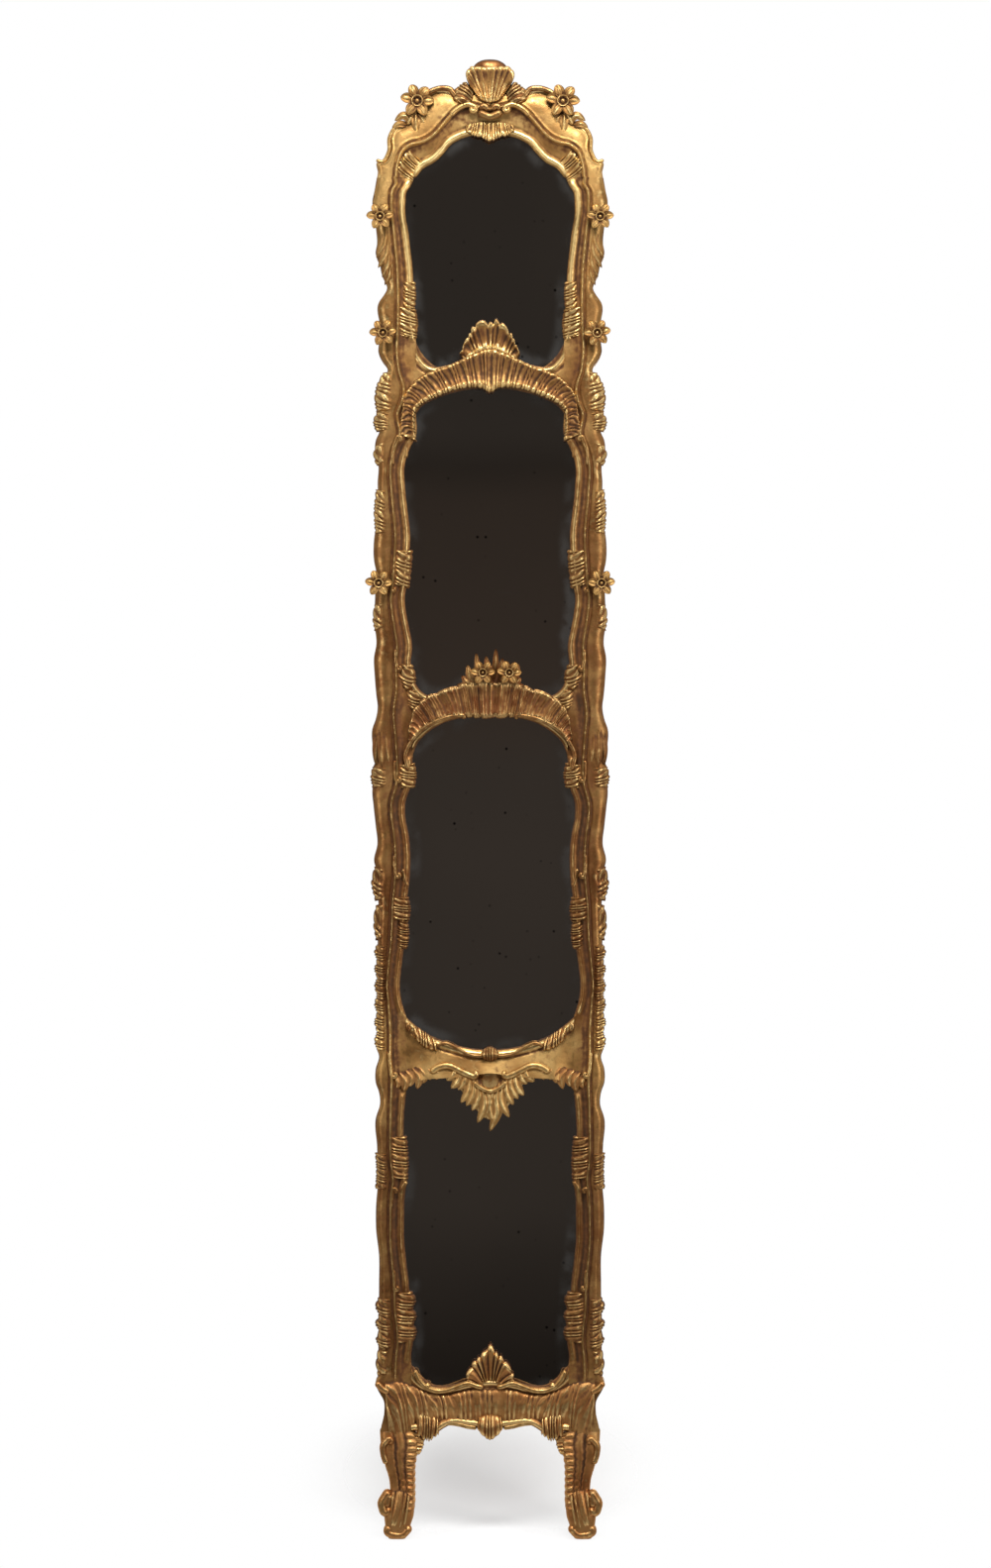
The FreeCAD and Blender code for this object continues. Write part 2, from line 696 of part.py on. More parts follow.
def fans(nodes):
    """Carved fans planted on the crest, the rails and the apron."""
    shell = fan(crest_top - crest_shell_seat, 0, crest_shell_fan)
    lobe = taper(0, overall_height - back_lobe_radius, plate_front, plate_front + flute_body,
                 back_lobe_radius, back_lobe_radius, back_lobe_sides)
    nodes["crest_shell"] = fuse([shell, lobe])
    arch_top = crest_bottom + crest_height * sight_arch[-1][1]
    nodes["drop_shell"] = fan(arch_top + drop_shell_lift, math.pi, drop_shell_fan)
    nodes["rail_1_spray"] = fan(centre_of(rail_1_bottom, rail_1_zone, rail_1_low_edge) + rail_1_band
                                + rail_1_spray_fan.hub + fan_clearance, 0, rail_1_spray_fan)
    nodes["rail_2_spray"] = fan(spray_level(), 0, rail_2_spray_fan)
    nodes["rail_3_pendant"] = fan(centre_of(rail_3_bottom, rail_3_zone, scroll_band_edge)
                                  - rail_3_pendant_fan.hub - drop_clearance, math.pi, rail_3_pendant_fan)
    band_foot = apron_bottom + apron_band_lift
    nodes["apron_palmette"] = fan(band_foot + apron_band + apron_palmette_fan.hub + fan_clearance, 0,
                                  apron_palmette_fan)
    nodes["apron_drop"] = fan(band_foot - apron_drop_fan.hub - drop_clearance, math.pi, apron_drop_fan)


def spray_level():
    """Height of the hub of the spray on the second rail, clear of the flutes below it."""
    return (centre_of(rail_2_bottom, rail_2_zone, rail_2_low_edge) + rail_2_band + rail_2_spray_fan.hub
            + fan_clearance)


def build():
    nodes = {}
    bars = bar_levels()
    stile_holes = [mortise(*bar) for bar in bars]
    stile_holes.append(end_tenon(leg_height - joint_gap, leg_tenon + joint_gap, joint_gap))
    crest_holes = [end_tenon(crest_bottom - joint_gap, crest_tenon + joint_gap, joint_gap)]

    # Pegs through the tenons, from the back
    pegs = []
    peg_holes = []
    for z0, z1 in bars:
        x = rebate_half + tenon_length / 2
        z = (z0 + z1) / 2
        pegs.append(pair(taper(x, z, 0, peg_length, peg_radius, peg_radius, peg_sides)))
        hole_radius = peg_radius + joint_gap
        peg_holes.append(taper(x, z, 0, peg_length + joint_gap, hole_radius, hole_radius, peg_sides))
    nodes["tenon_pegs"] = Part.makeCompound([solid for peg in pegs for solid in peg.Solids])
    stile_holes += peg_holes

    # Rails, from the top down
    rails = {
        "rail_1": shell_rail(rail_1_low_edge, rail_1_high_edge, rail_1_shoulder, rail_1_bottom,
                             rail_1_zone, bars[0], rail_1_chord_share, rail_1_rise_share,
                             rail_1_band, rail_1_flutes),
        "rail_2": shell_rail(rail_2_low_edge, rail_2_high_edge, rail_2_shoulder, rail_2_bottom,
                             rail_2_zone, bars[1], rail_2_chord_share, rail_2_rise_share,
                             rail_2_band, rail_2_flutes),
        "rail_3": smooth_rail(bars[2]),
        "apron_rail": apron_rail(bars[3]),
    }
    for (name, rail), hole in zip(rails.items(), peg_holes):
        nodes[name] = rail.cut([hole, mirrored(hole)])

    # Plates, backboards and brads, from the top bay down
    tops = [crest_bottom] + [bar[0] - fitting_gap for bar in bars[:3]]
    bottoms = [bar[1] + fitting_gap for bar in bars]
    brads = []
    for i, (low, high) in enumerate(zip(bottoms, tops), start=1):
        for name, depth0, depth1 in (("mirror_plate", glass_back, rebate_depth),
                                     ("backboard", board_back, glass_back)):
            sheet = block(-glass_half, glass_half, depth0, depth1, low, high)
            if i == 1:
                sheet = fuse([sheet, prism(glass_arch(glass_half, arch_rise, depth0), depth0, depth1)])
            nodes[f"{name}_{i}"] = sheet
        for share in brad_shares:
            z = low + share * (high - low)
            brads += pair(brad(z, 0)).Solids
            stile_holes.append(brad(z, joint_gap))
    nodes["backboard_brads"] = Part.makeCompound(brads)

    # Fans, and the flowers on their pegs
    fans(nodes)
    side_flowers = {
        "upper_flower": rail_1_top + upper_flower_share * bay_1_height,
        "middle_flower": rail_1_top + middle_flower_share * bay_1_height,
        "lower_flower": rail_2_top + lower_flower_share * bay_2_height,
    }
    for name, z in side_flowers.items():
        x = outer_edge(z) - flower_edge
        nodes[f"{name}_right"] = flower(x, z, side_flower_radius, flower_back)
        stile_holes.append(peg_hole(x, z, flower_back))
    z = crest_top - crest_flower_drop
    nodes["crest_flower_right"] = flower(crest_flower_x, z, crest_flower_radius, plate_front)
    crest_holes.append(peg_hole(crest_flower_x, z, plate_front))
    for name in (*side_flowers, "crest_flower"):
        nodes[f"{name}_left"] = mirrored(nodes[f"{name}_right"])
    z = spray_level() + centre_flower_lift
    for name, x in zip(("left", "right"), centre_flower_x):
        nodes[f"centre_flower_{name}"] = flower(x, z, centre_flower_radius, flower_back)
    nodes["rail_2_spray"] = nodes["rail_2_spray"].cut([peg_hole(x, z, flower_back) for x in centre_flower_x])

    # Hanging rings
    x = hanger_spacing / 2
    nodes["hanger_straps"] = pair(hanger_strap(x))
    nodes["left_hanger_ring"] = hanger_ring(-x)
    nodes["right_hanger_ring"] = hanger_ring(x)
    nodes["hanger_screws"] = pair(screw(x, 0))
    crest_holes.append(screw(x, joint_gap))

    # Frame, with its holes
    stile = fuse([stile_blank(), end_tenon(crest_bottom, crest_tenon, 0)]).cut(stile_holes)
    nodes["right_stile"] = stile
    nodes["left_stile"] = mirrored(stile)
    nodes["right_leg"] = leg()
    nodes["left_leg"] = mirrored(nodes["right_leg"])
    nodes["crest_rail"] = crest().cut(crest_holes + [mirrored(hole) for hole in crest_holes])
    return nodes


os.makedirs("parts", exist_ok=True)
for name, shape in build().items():
    print(name, len(shape.Solids), shape.isValid(), round(shape.Volume / 1000, 1), "cm3")
    shape.exportStep(f"parts/{name}.step")
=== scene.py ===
# %% [markdown]
# # A carved and gilded hall mirror
# Four dark old mirror plates stand one above the other in a tall, narrow frame of carved wood. The
# carver cut shells, leaves and scrolls, and the gilder laid gold leaf over red clay. This lesson
# builds that carving round a plain CAD frame. All lengths in the code are in millimetres, and a depth
# is measured forwards from the back of the frame, which hangs flat on a wall.

# %% Load the frame
import math

import bpy
import mathutils
import numpy as np
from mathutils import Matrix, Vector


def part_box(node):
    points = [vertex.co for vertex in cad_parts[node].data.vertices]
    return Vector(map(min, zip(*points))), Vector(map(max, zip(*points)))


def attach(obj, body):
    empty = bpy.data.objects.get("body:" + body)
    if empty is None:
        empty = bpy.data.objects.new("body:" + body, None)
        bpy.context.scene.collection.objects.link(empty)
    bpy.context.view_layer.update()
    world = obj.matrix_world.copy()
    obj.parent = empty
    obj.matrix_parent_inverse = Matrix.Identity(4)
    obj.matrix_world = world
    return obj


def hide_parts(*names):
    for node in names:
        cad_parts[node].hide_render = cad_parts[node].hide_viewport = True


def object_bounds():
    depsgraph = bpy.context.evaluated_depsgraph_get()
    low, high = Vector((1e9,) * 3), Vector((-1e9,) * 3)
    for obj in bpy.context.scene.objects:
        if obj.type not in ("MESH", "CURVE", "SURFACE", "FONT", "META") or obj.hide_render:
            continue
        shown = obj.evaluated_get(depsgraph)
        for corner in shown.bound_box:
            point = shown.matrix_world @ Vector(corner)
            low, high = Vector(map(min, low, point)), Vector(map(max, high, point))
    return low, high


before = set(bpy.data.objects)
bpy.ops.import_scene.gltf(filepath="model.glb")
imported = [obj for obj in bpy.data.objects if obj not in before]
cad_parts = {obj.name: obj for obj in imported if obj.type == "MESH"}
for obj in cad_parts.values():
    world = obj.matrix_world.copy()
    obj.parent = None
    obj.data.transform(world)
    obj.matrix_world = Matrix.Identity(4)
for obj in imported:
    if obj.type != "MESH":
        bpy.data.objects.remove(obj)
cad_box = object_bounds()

MM = 1000.0
print("nodes", len(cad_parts), "height in mm", round(cad_box[1].z * MM))

# %% [markdown]
# The frame is a stack of zones: an apron, then bays of glass with rails between them, then the crest.
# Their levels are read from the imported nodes, so that every piece of carving below is placed by the
# zone that it belongs to and not by a number of its own.

# %% Levels of the zones
def node_box(node):
    """Lowest and highest corner of a CAD node, in millimetres."""
    low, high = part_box(node)
    return np.array(low) * MM, np.array(high) * MM


back_plane = cad_box[1].y * MM
glass_depth = back_plane - node_box("mirror_plate_1")[0][1]
rebate_half = node_box("backboard_1")[1][0] + 1.0
foot = {
    "leg": 0.0,
    "apron": node_box("left_stile")[0][2],
    "bay_4": node_box("apron_rail")[1][2],
    "rail_3": node_box("rail_3")[0][2],
    "bay_3": node_box("rail_3")[1][2],
    "rail_2": node_box("rail_2")[0][2],
    "bay_2": node_box("rail_2")[1][2],
    "rail_1": node_box("rail_1")[0][2],
    "bay_1": node_box("rail_1")[1][2],
    "crest": node_box("crest_rail")[0][2],
    "top": node_box("crest_rail")[1][2],
}
zones = list(foot)
rise = {zone: foot[after] - foot[zone] for zone, after in zip(zones, zones[1:])}
print({zone: round(level, 1) for zone, level in foot.items()})

# %% [markdown]
# Carved edges are drawn by a few points with a smooth line through them. A cubic between each two
# points, with the mean slope of its neighbours at each end, gives a line that never kinks. The same
# formula serves for a line in the plan and for a width that changes with height.

# %% Smooth lines
def cubic(at, knots, values):
    """Values at some places, on cubic pieces through the knots.

    Each piece is a Hermite cubic, whose end slopes are central differences of the values.
    """
    knots = np.asarray(knots, float)
    values = np.asarray(values, float)
    slopes = np.gradient(values, knots, axis=0)
    k = np.clip(np.searchsorted(knots, at, side="right") - 1, 0, len(knots) - 2)
    step = knots[k + 1] - knots[k]
    h = (at - knots[k]) / step
    if values.ndim == 2:
        h = h[:, None]
        step = step[:, None]
    start = (1 + 2 * h) * (1 - h) ** 2 * values[k] + h * (1 - h) ** 2 * step * slopes[k]
    stop = h * h * (3 - 2 * h) * values[k + 1] + h * h * (h - 1) * step * slopes[k + 1]
    return start + stop


def line(points, count):
    """Smooth line through points of the plan, sampled at even steps of its chords."""
    points = np.asarray(points, float)
    chords = np.linalg.norm(np.diff(points, axis=0), axis=1)
    length = np.concatenate(([0.0], np.cumsum(chords)))
    return cubic(np.linspace(0, length[-1], count), length, points)


def placed(zone, points):
    """Points given as x and rise above the foot of a zone, as x and height."""
    return np.asarray(points, float) + [0.0, foot[zone]]


def whole(half):
    """The right half of a line, from its side to the centre, with its mirror image before it."""
    half = np.asarray(half, float)
    return np.concatenate((half * [-1, 1], half[-2::-1]))


def ramp(value, start, stop):
    """Share from 0 to 1 that a value has gone from start to stop, eased at both ends."""
    share = np.clip((value - start) / (stop - start), 0, 1)
    return share * share * (3 - 2 * share)


# %% [markdown]
# Every piece is a stack of closed loops of points: the carved front, the edges and the back are one
# skin. A number called hollow goes with each point. It compares the surface with its own average
# nearby, so it is low on ridges and high in grooves, and the gilding uses it for wear and dirt.

# %% Meshes from loops
sharp_angle = math.radians(60)


def mean_near(values, reach, axis):
    """Average over a window along one axis of a grid, from differences of running sums."""
    reach = min(reach, values.shape[axis] // 2)
    pads = [(0, 0), (0, 0)]
    pads[axis] = (reach + 1, reach)
    total = np.cumsum(np.pad(values, pads, mode="edge"), axis)
    window = 2 * reach + 1
    ahead = np.take(total, range(window, total.shape[axis]), axis)
    behind = np.take(total, range(0, total.shape[axis] - window), axis)
    return (ahead - behind) / window


def hollowness(depth, reach=5, span=4.0):
    """Half, plus how far the surface lies under its average nearby, as a share of a span of depth."""
    near = mean_near(mean_near(depth, reach, 0), reach, 1)
    return np.clip(0.5 + (near - depth) / span, 0, 1)


def skin(loops, ring):
    """Points and outward faces of a stack of closed loops.

    Neighbouring loops are joined by four-sided faces. The end loops are capped, or joined to each
    other where ring is true. The sum of the corners' triple products is six times the volume, and its
    sign tells whether the faces have to be turned.
    """
    rows, columns = loops.shape[:2]
    points = loops.reshape(-1, 3) / MM
    row = np.arange(rows if ring else rows - 1)[:, None]
    column = np.arange(columns)[None, :]
    beside = (column + 1) % columns
    after = (row + 1) % rows * columns
    quads = np.stack([row * columns + column, row * columns + beside, after + beside, after + column], -1)
    quads = quads.reshape(-1, 4)
    caps = [] if ring else [np.arange(columns)[::-1], np.arange(columns) + (rows - 1) * columns]
    centred = points - points.mean(0)
    a, b, c, d = (centred[quads[:, i]] for i in range(4))
    volume = np.sum(a * (np.cross(b, c) + np.cross(c, d)))
    for cap in caps:
        rim = centred[cap]
        volume += np.sum(rim.mean(0) * np.cross(rim, np.roll(rim, -1, 0)))
    if volume < 0:
        quads = quads[:, ::-1]
        caps = [cap[::-1] for cap in caps]
    return points, quads, caps


def add_piece(name, skins, finishes, raw=None, stands_for=()):
    """Mesh object of one or more skins, each given as loops, hollow numbers and ring.

    raw marks the columns of bare wood, which take the second finish, as the caps then do.
    """
    points, faces, hollows = [], [], []
    total = 0
    for loops, hollow, ring in skins:
        spots, quads, caps = skin(loops, ring)
        points.append(spots)
        faces += (quads + total).tolist() + [(cap + total).tolist() for cap in caps]
        hollows.append(np.broadcast_to(hollow, loops.shape[:2]).ravel())
        total += len(spots)
    mesh = bpy.data.meshes.new(name)
    mesh.from_pydata(np.concatenate(points).tolist(), [], faces)
    mesh.polygons.foreach_set("use_smooth", np.ones(len(mesh.polygons), bool))
    mesh.set_sharp_from_angle(angle=sharp_angle)
    layer = mesh.attributes.new("hollow", "FLOAT", "POINT")
    layer.data.foreach_set("value", np.concatenate(hollows).astype("f4"))
    for finish in finishes:
        mesh.materials.append(finish)
    if raw is not None:
        rows = (len(faces) - 2) // len(raw)
        bare = np.broadcast_to(raw & np.roll(raw, -1), (rows, len(raw))).ravel()
        mesh.polygons.foreach_set("material_index", np.concatenate((bare, [True, True])).astype("i4"))
    mesh.update()
    piece = bpy.data.objects.new(name, mesh)
    bpy.context.scene.collection.objects.link(piece)
    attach(piece, "frame")
    if stands_for:
        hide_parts(*stands_for)
    return piece


# %% [markdown]
# Every finish here is a tree of nodes, and a tree written node by node is long and hard to read. A few
# helpers put in one node each: noise, arithmetic, an eased step, a mix and a ramp of colours. With them
# a finish reads almost like a formula.

# %% Node helpers
def new_finish(name):
    """Material with its node tree and its main shader."""
    finish = bpy.data.materials.new(name)
    finish.use_nodes = True
    return finish, finish.node_tree, finish.node_tree.nodes["Principled BSDF"]


def put(tree, kind, sockets=(), **settings):
    """Node with some settings, and its sockets set to values or linked to other nodes' outputs."""
    node = tree.nodes.new("ShaderNode" + kind)
    for key, value in settings.items():
        setattr(node, key, value)
    for key, value in dict(sockets).items():
        if isinstance(value, bpy.types.NodeSocket):
            tree.links.new(value, node.inputs[key])
        else:
            node.inputs[key].default_value = value
    return node


def colour_mix(tree, share, first, second):
    """Colour between two colours, by a share."""
    return put(tree, "Mix", {0: share, 6: first, 7: second}, data_type="RGBA").outputs[2]


def number(tree, operation, first, second):
    """Sum, product or other result of two numbers."""
    return put(tree, "Math", {0: first, 1: second}, operation=operation).outputs[0]


def eased(tree, value, start, stop, low=0.0, high=1.0):
    """Value mapped from one range to another, eased at both ends."""
    sockets = {"Value": value, "From Min": start, "From Max": stop, "To Min": low, "To Max": high}
    return put(tree, "MapRange", sockets, interpolation_type="SMOOTHSTEP").outputs[0]


def cloud(tree, place, scale, detail=3.0):
    """Soft noise at a number of blotches to the metre."""
    sockets = {"Vector": place, "Scale": scale, "Detail": detail}
    return put(tree, "TexNoise", sockets).outputs[0]


def stops(tree, value, marks):
    """Colour ramp with marks given as place and colour, in rising order."""
    node = put(tree, "ValToRGB", {0: value})
    elements = node.color_ramp.elements
    elements[0].position, elements[0].color = marks[0]
    elements[1].position, elements[1].color = marks[-1]
    for place, colour in marks[1:-1]:
        elements.new(place).color = colour
    return node.outputs[0]


# %% [markdown]
# Gilding is gold leaf on red clay on white gesso. It is a metal, but a thin and worn one: the leaf is
# rubbed bright on ridges, breaks to the red clay beside them, and the hollows hold centuries of brown
# dust. So the finish mixes three colours by the hollow number and two sizes of noise, and the metal
# shine goes down where the clay and the dust show. One stretch of the frame is browner than the next,
# and low down it is redder, so a ramp by height, broken up by patches of noise, mixes in a browner
# colour. The sheen has a warm tint, because leaf is warm even where it only glints.

# %% Gilding
leaf_dark = (0.22, 0.102, 0.030, 1)
leaf_mid = (0.385, 0.21, 0.067, 1)
leaf_light = (0.56, 0.355, 0.128, 1)
leaf_rubbed = (0.90, 0.66, 0.28, 1)
leaf_aged = (0.135, 0.0465, 0.0145, 1)
leaf_russet = (0.275, 0.084, 0.026, 1)
clay_red = (0.115, 0.043, 0.0155, 1)
dust_brown = (0.045, 0.021, 0.010, 1)
sheen = 0.3
sheen_tint = (1.0, 0.77, 0.52, 1)


def gilding(name, browning, aged=leaf_aged):
    """Worn gold leaf. The second argument lists heights in metres with how far the leaf goes there to the
    aged colour, 0 to 1.
    """
    finish, tree, shader = new_finish(name)
    place = put(tree, "TexCoord").outputs["Object"]
    hollow = put(tree, "Attribute", attribute_name="hollow").outputs["Fac"]
    blotch = cloud(tree, place, 17.0, 4.0)
    patch = cloud(tree, place, 40.0, 3.0)
    fleck = cloud(tree, place, 130.0, 4.0)
    grit = cloud(tree, place, 600.0, 2.0)
    uneven = number(tree, "MULTIPLY", number(tree, "SUBTRACT", blotch, 0.5), 0.5)
    broken = number(tree, "MULTIPLY", number(tree, "SUBTRACT", fleck, 0.5), 0.6)
    wear = number(tree, "ADD", hollow, number(tree, "ADD", uneven, broken))
    leaf = stops(tree, blotch, ((0.3, leaf_dark), (0.5, leaf_mid), (0.7, leaf_light)))
    height = put(tree, "SeparateXYZ", {0: place}).outputs["Z"]
    top = cad_box[1].z
    marks = [(z / top, (browning_share, browning_share, browning_share, 1)) for z, browning_share in browning]
    browning_share = stops(tree, number(tree, "DIVIDE", height, top), marks)
    browning_mix = number(tree, "MULTIPLY", browning_share, eased(tree, fleck, 0.25, 0.6, 0.75, 1.0))
    browning_mix = number(tree, "MULTIPLY", browning_mix, eased(tree, patch, 0.35, 0.6, 0.75, 1.1))
    leaf = colour_mix(tree, browning_mix, leaf, aged)
    rubbing = number(tree, "SUBTRACT", 0.85, number(tree, "MULTIPLY", browning_share, 0.68))
    rubbed = number(tree, "MULTIPLY", eased(tree, wear, 0.43, 0.12), rubbing)
    leaf = colour_mix(tree, rubbed, leaf, leaf_rubbed)
    ground = colour_mix(tree, eased(tree, wear, 0.68, 1.0), clay_red, dust_brown)
    colour = colour_mix(tree, eased(tree, wear, 0.51, 0.8), leaf, ground)
    tree.links.new(colour, shader.inputs["Base Color"])
    shader.inputs["Specular IOR Level"].default_value = sheen
    shader.inputs["Specular Tint"].default_value = sheen_tint
    tree.links.new(eased(tree, wear, 0.45, 0.85, 0.85, 0.15), shader.inputs["Metallic"])
    rough = number(tree, "ADD", eased(tree, wear, 0.2, 0.9, 0.28, 0.58),
                   number(tree, "MULTIPLY", grit, 0.16))
    tree.links.new(rough, shader.inputs["Roughness"])
    skin_noise = number(tree, "ADD", fleck, number(tree, "MULTIPLY", grit, 0.4))
    bump = put(tree, "Bump", {"Strength": 0.28, "Distance": 0.0012, "Height": skin_noise})
    tree.links.new(bump.outputs[0], shader.inputs["Normal"])
    return finish


gold_frame = gilding("gilding_frame",
    ((0.0, 0.6), (0.15, 0.45), (0.24, 0.35), (0.3, 0.75), (0.6, 0.8), (0.68, 0.45), (0.71, 0.0),
     (0.76, 0.0), (0.82, 0.75), (1.0, 0.85), (1.25, 0.8), (1.42, 0.75), (1.65, 0.65), (1.72, 0.5),
     (1.8, 0.36), (1.86, 0.42), (2.0, 0.28), (2.06, 0.0), (2.24, 0.0)))
gold_bright = gilding("gilding_bright", ((0.0, 0.35), (0.3, 0.3), (0.7, 0.05), (2.24, 0.05)))
# Near the very top this copy turns fully brown: painted shadow on the shell's lobe behind.
gold_aged_and_shade = gilding("gilding_aged_and_shade",
    ((0.0, 0.7), (1.0, 0.8), (1.2, 0.95), (1.35, 0.95), (2.0, 0.75), (2.19, 0.75), (2.21, 1.0),
     (2.24, 1.0)))
gold_low = gilding("gilding_low", ((0.0, 0.58), (0.15, 0.52), (0.26, 0.55), (0.4, 0.5)), leaf_russet)
print("gildings", gold_frame.name, gold_bright.name, gold_aged_and_shade.name, gold_low.name)

# %% [markdown]
# The back of the frame and the boards behind the glass were never gilded. They are pine, brown with
# age, with a grain along the piece. A stretched noise that bends a sawtooth of rings gives that grain.

# %% Bare pine
pine_light = (0.40, 0.25, 0.125, 1)
pine_dark = (0.19, 0.10, 0.045, 1)


def pine(name, along):
    """Old bare pine whose grain runs along a direction, given as stretches of the three axes."""
    finish, tree, shader = new_finish(name)
    place = put(tree, "TexCoord").outputs["Object"]
    stretched = put(tree, "Mapping", {"Vector": place, "Scale": along}).outputs[0]
    bands = {"Vector": stretched, "Scale": 26.0, "Distortion": 14.0, "Detail": 3.0, "Detail Scale": 0.35}
    rings = put(tree, "TexWave", bands, bands_direction="DIAGONAL", wave_profile="SAW").outputs[1]
    fibre = cloud(tree, stretched, 160.0, 5.0)
    stain = cloud(tree, place, 9.0, 4.0)
    tone = number(tree, "ADD", number(tree, "MULTIPLY", rings, 0.24),
                  number(tree, "ADD", number(tree, "MULTIPLY", fibre, 0.4),
                         number(tree, "MULTIPLY", stain, 0.5)))
    tree.links.new(stops(tree, tone, ((0.25, pine_dark), (0.85, pine_light))), shader.inputs["Base Color"])
    tree.links.new(eased(tree, fibre, 0.2, 0.8, 0.68, 0.9), shader.inputs["Roughness"])
    bump = put(tree, "Bump", {"Strength": 0.4, "Distance": 0.0008, "Height": tone})
    tree.links.new(bump.outputs[0], shader.inputs["Normal"])
    return finish


pine_upright = pine("pine_upright", (1.0, 1.0, 0.06))
pine_across = pine("pine_across", (0.06, 1.0, 1.0))
print("pines", pine_upright.name, pine_across.name)

# %% [markdown]
# The stiles wave in and out. Two tables give the sight edge beside the glass and the outer edge, as a
# share of each zone's height and a half width. Between rails the sight edge is the glass's own
# outline. At a rail it is the straight shoulder where rail and stile meet.

# %% Edges of the stiles
shoulder = {"apron": 119.0, "rail_3": 127.0, "rail_2": 117.0, "rail_1": 112.0, "crest": 116.0}
sight_shares = {
    "bay_4": ((0.03, 119.5), (0.09, 116.5), (0.145, 118), (0.2, 121.5), (0.29, 122.5), (0.38, 127),
              (0.45, 130), (0.54, 130), (0.63, 128.5), (0.67, 125.5), (0.75, 129.5), (0.93, 129.5)),
    "bay_3": ((0.06, 134), (0.12, 136.5), (0.18, 134.5), (0.3, 128.5), (0.43, 126), (0.55, 121),
              (0.64, 121), (0.7, 123.5), (0.76, 128), (0.82, 128), (0.88, 120)),
    "bay_2": ((0.03, 119.5), (0.12, 118), (0.18, 122.5), (0.24, 127), (0.3, 129), (0.34, 126.5),
              (0.45, 122.5), (0.54, 121), (0.63, 125), (0.7, 128), (0.82, 128), (0.87, 121), (0.91, 113)),
    "bay_1": ((0.14, 116), (0.39, 116.5), (0.48, 118), (0.58, 121), (0.68, 124), (0.77, 128),
              (0.87, 128), (0.92, 126.5), (0.96, 120)),
}
outer_shares = {
    "apron": ((0.0, 166), (0.3, 160), (0.46, 160.5), (0.64, 170), (0.73, 173.5), (0.82, 169),
              (0.91, 166.5)),
    "bay_4": ((0.0, 169), (0.06, 169), (0.3, 168), (0.4, 168), (0.5, 172.5), (0.58, 172.5), (0.66, 170),
              (0.8, 171), (0.9, 173), (0.955, 166.5)),
    "rail_3": ((0.0, 168.5), (0.1, 172.5), (0.3, 173), (0.47, 168), (0.6, 172), (0.72, 169)),
    "bay_3": ((0.0, 170), (0.3, 170), (0.46, 170), (0.5, 173), (0.53, 169.5), (0.6, 175.5), (0.66, 170.5),
              (0.73, 173), (0.8, 176), (0.87, 178), (0.92, 174), (0.95, 177), (0.985, 173)),
    "rail_2": ((0.0, 176.5), (0.1, 177.5), (0.33, 178), (0.45, 173), (0.6, 170), (0.75, 172)),
    "bay_2": ((0.0, 174.5), (0.07, 175.5), (0.12, 172), (0.2, 175), (0.3, 174), (0.4, 172.5), (0.43, 175),
              (0.52, 175.5), (0.58, 172), (0.635, 174), (0.66, 171), (0.74, 170), (0.8, 169), (0.85, 174),
              (0.9, 172.5), (0.93, 167.5), (0.97, 171.5)),
    "rail_1": ((0.0, 172), (0.1, 168), (0.24, 171), (0.35, 167), (0.45, 161), (0.55, 156), (0.66, 156),
               (0.75, 163), (0.85, 168.5)),
    "bay_1": ((0.0, 168), (0.1, 167), (0.25, 167.5), (0.29, 160.5), (0.325, 156), (0.37, 158), (0.42, 164),
              (0.48, 167), (0.54, 173), (0.6, 171), (0.69, 172.5), (0.8, 177), (0.86, 178), (0.92, 175)),
    "crest": ((0.0, 171.5),),
}


def edge_line(shares):
    """Heights and half widths of a table of shares, in one rising list."""
    spots = [(foot[zone] + share * rise[zone], width) for zone in zones if zone in shares
             for share, width in shares[zone]]
    return np.array(spots).T


for zone in ("apron", "rail_3", "rail_2", "rail_1"):
    sight_shares[zone] = ((0.0, shoulder[zone]), (0.5, shoulder[zone]), (1.0, shoulder[zone]))
sight_shares["crest"] = ((0.0, shoulder["crest"]),)
sight_line = edge_line(sight_shares)
outer_line = edge_line(outer_shares)
print("sight points", sight_line.shape[1], "outer points", outer_line.shape[1])

# %% [markdown]
# Across the stile the profile goes from a thin lip beside the glass, up a deep cove, over a bead on
# the ridge, and down a soft band to the outer edge. It is one formula of the distance from the ridge,
# so the crest uses it too, along its scroll moulding, and the two meet without a step.

# %% Profile of the mouldings
lip_height = 6.0
cove_rise = 11.0
cove_reach = 8.5
ridge_bead = 3.6
band_height = 12.5
band_swell = 3.0
edge_fall = 7.0


def cove(outside):
    """Height of the hollow inside the ridge: it decays from the ridge down to the lip."""
    return lip_height + cove_rise * np.exp(np.minimum(outside, 0) / cove_reach)


def moulding(outside, share, plain=False):
    """Height across a ridge.

    outside is the distance outwards from the ridge, and share goes from 0 on the ridge to 1 at the outer
    edge. The cove and the outer band are joined at the ridge under a bead, with finer lines beside it,
    unless the ground is wanted plain.
    """
    band = band_height + band_swell * np.sin(np.pi * share) - edge_fall * share ** 5
    ground = cove(outside) + (band - cove(outside)) * ramp(outside, -1.0, 3.0)
    if plain:
        return ground
    bead = ridge_bead * np.exp(-(outside / 2.6) ** 2)
    outer_thread = 0.8 * np.exp(-((outside - 6.4) / 2.0) ** 2) - 0.9 * np.exp(-((outside - 3.8) / 1.4) ** 2)
    inner_thread = 0.7 * np.exp(-((outside + 7.4) / 2.2) ** 2) - 0.9 * np.exp(-((outside + 4.2) / 1.5) ** 2)
    return ground + bead + outer_thread + inner_thread


def lip(distance):
    """Rounding of an edge beside the glass: a fall at the edge, a thin raised line, a groove."""
    fall = -3.2 * np.exp(-(distance / 1.8) ** 2)
    raised = 3.0 * np.exp(-((distance - 5.5) / 4.0) ** 2)
    groove = -1.2 * np.exp(-((distance - 12.5) / 1.8) ** 2)
    return fall + raised + groove


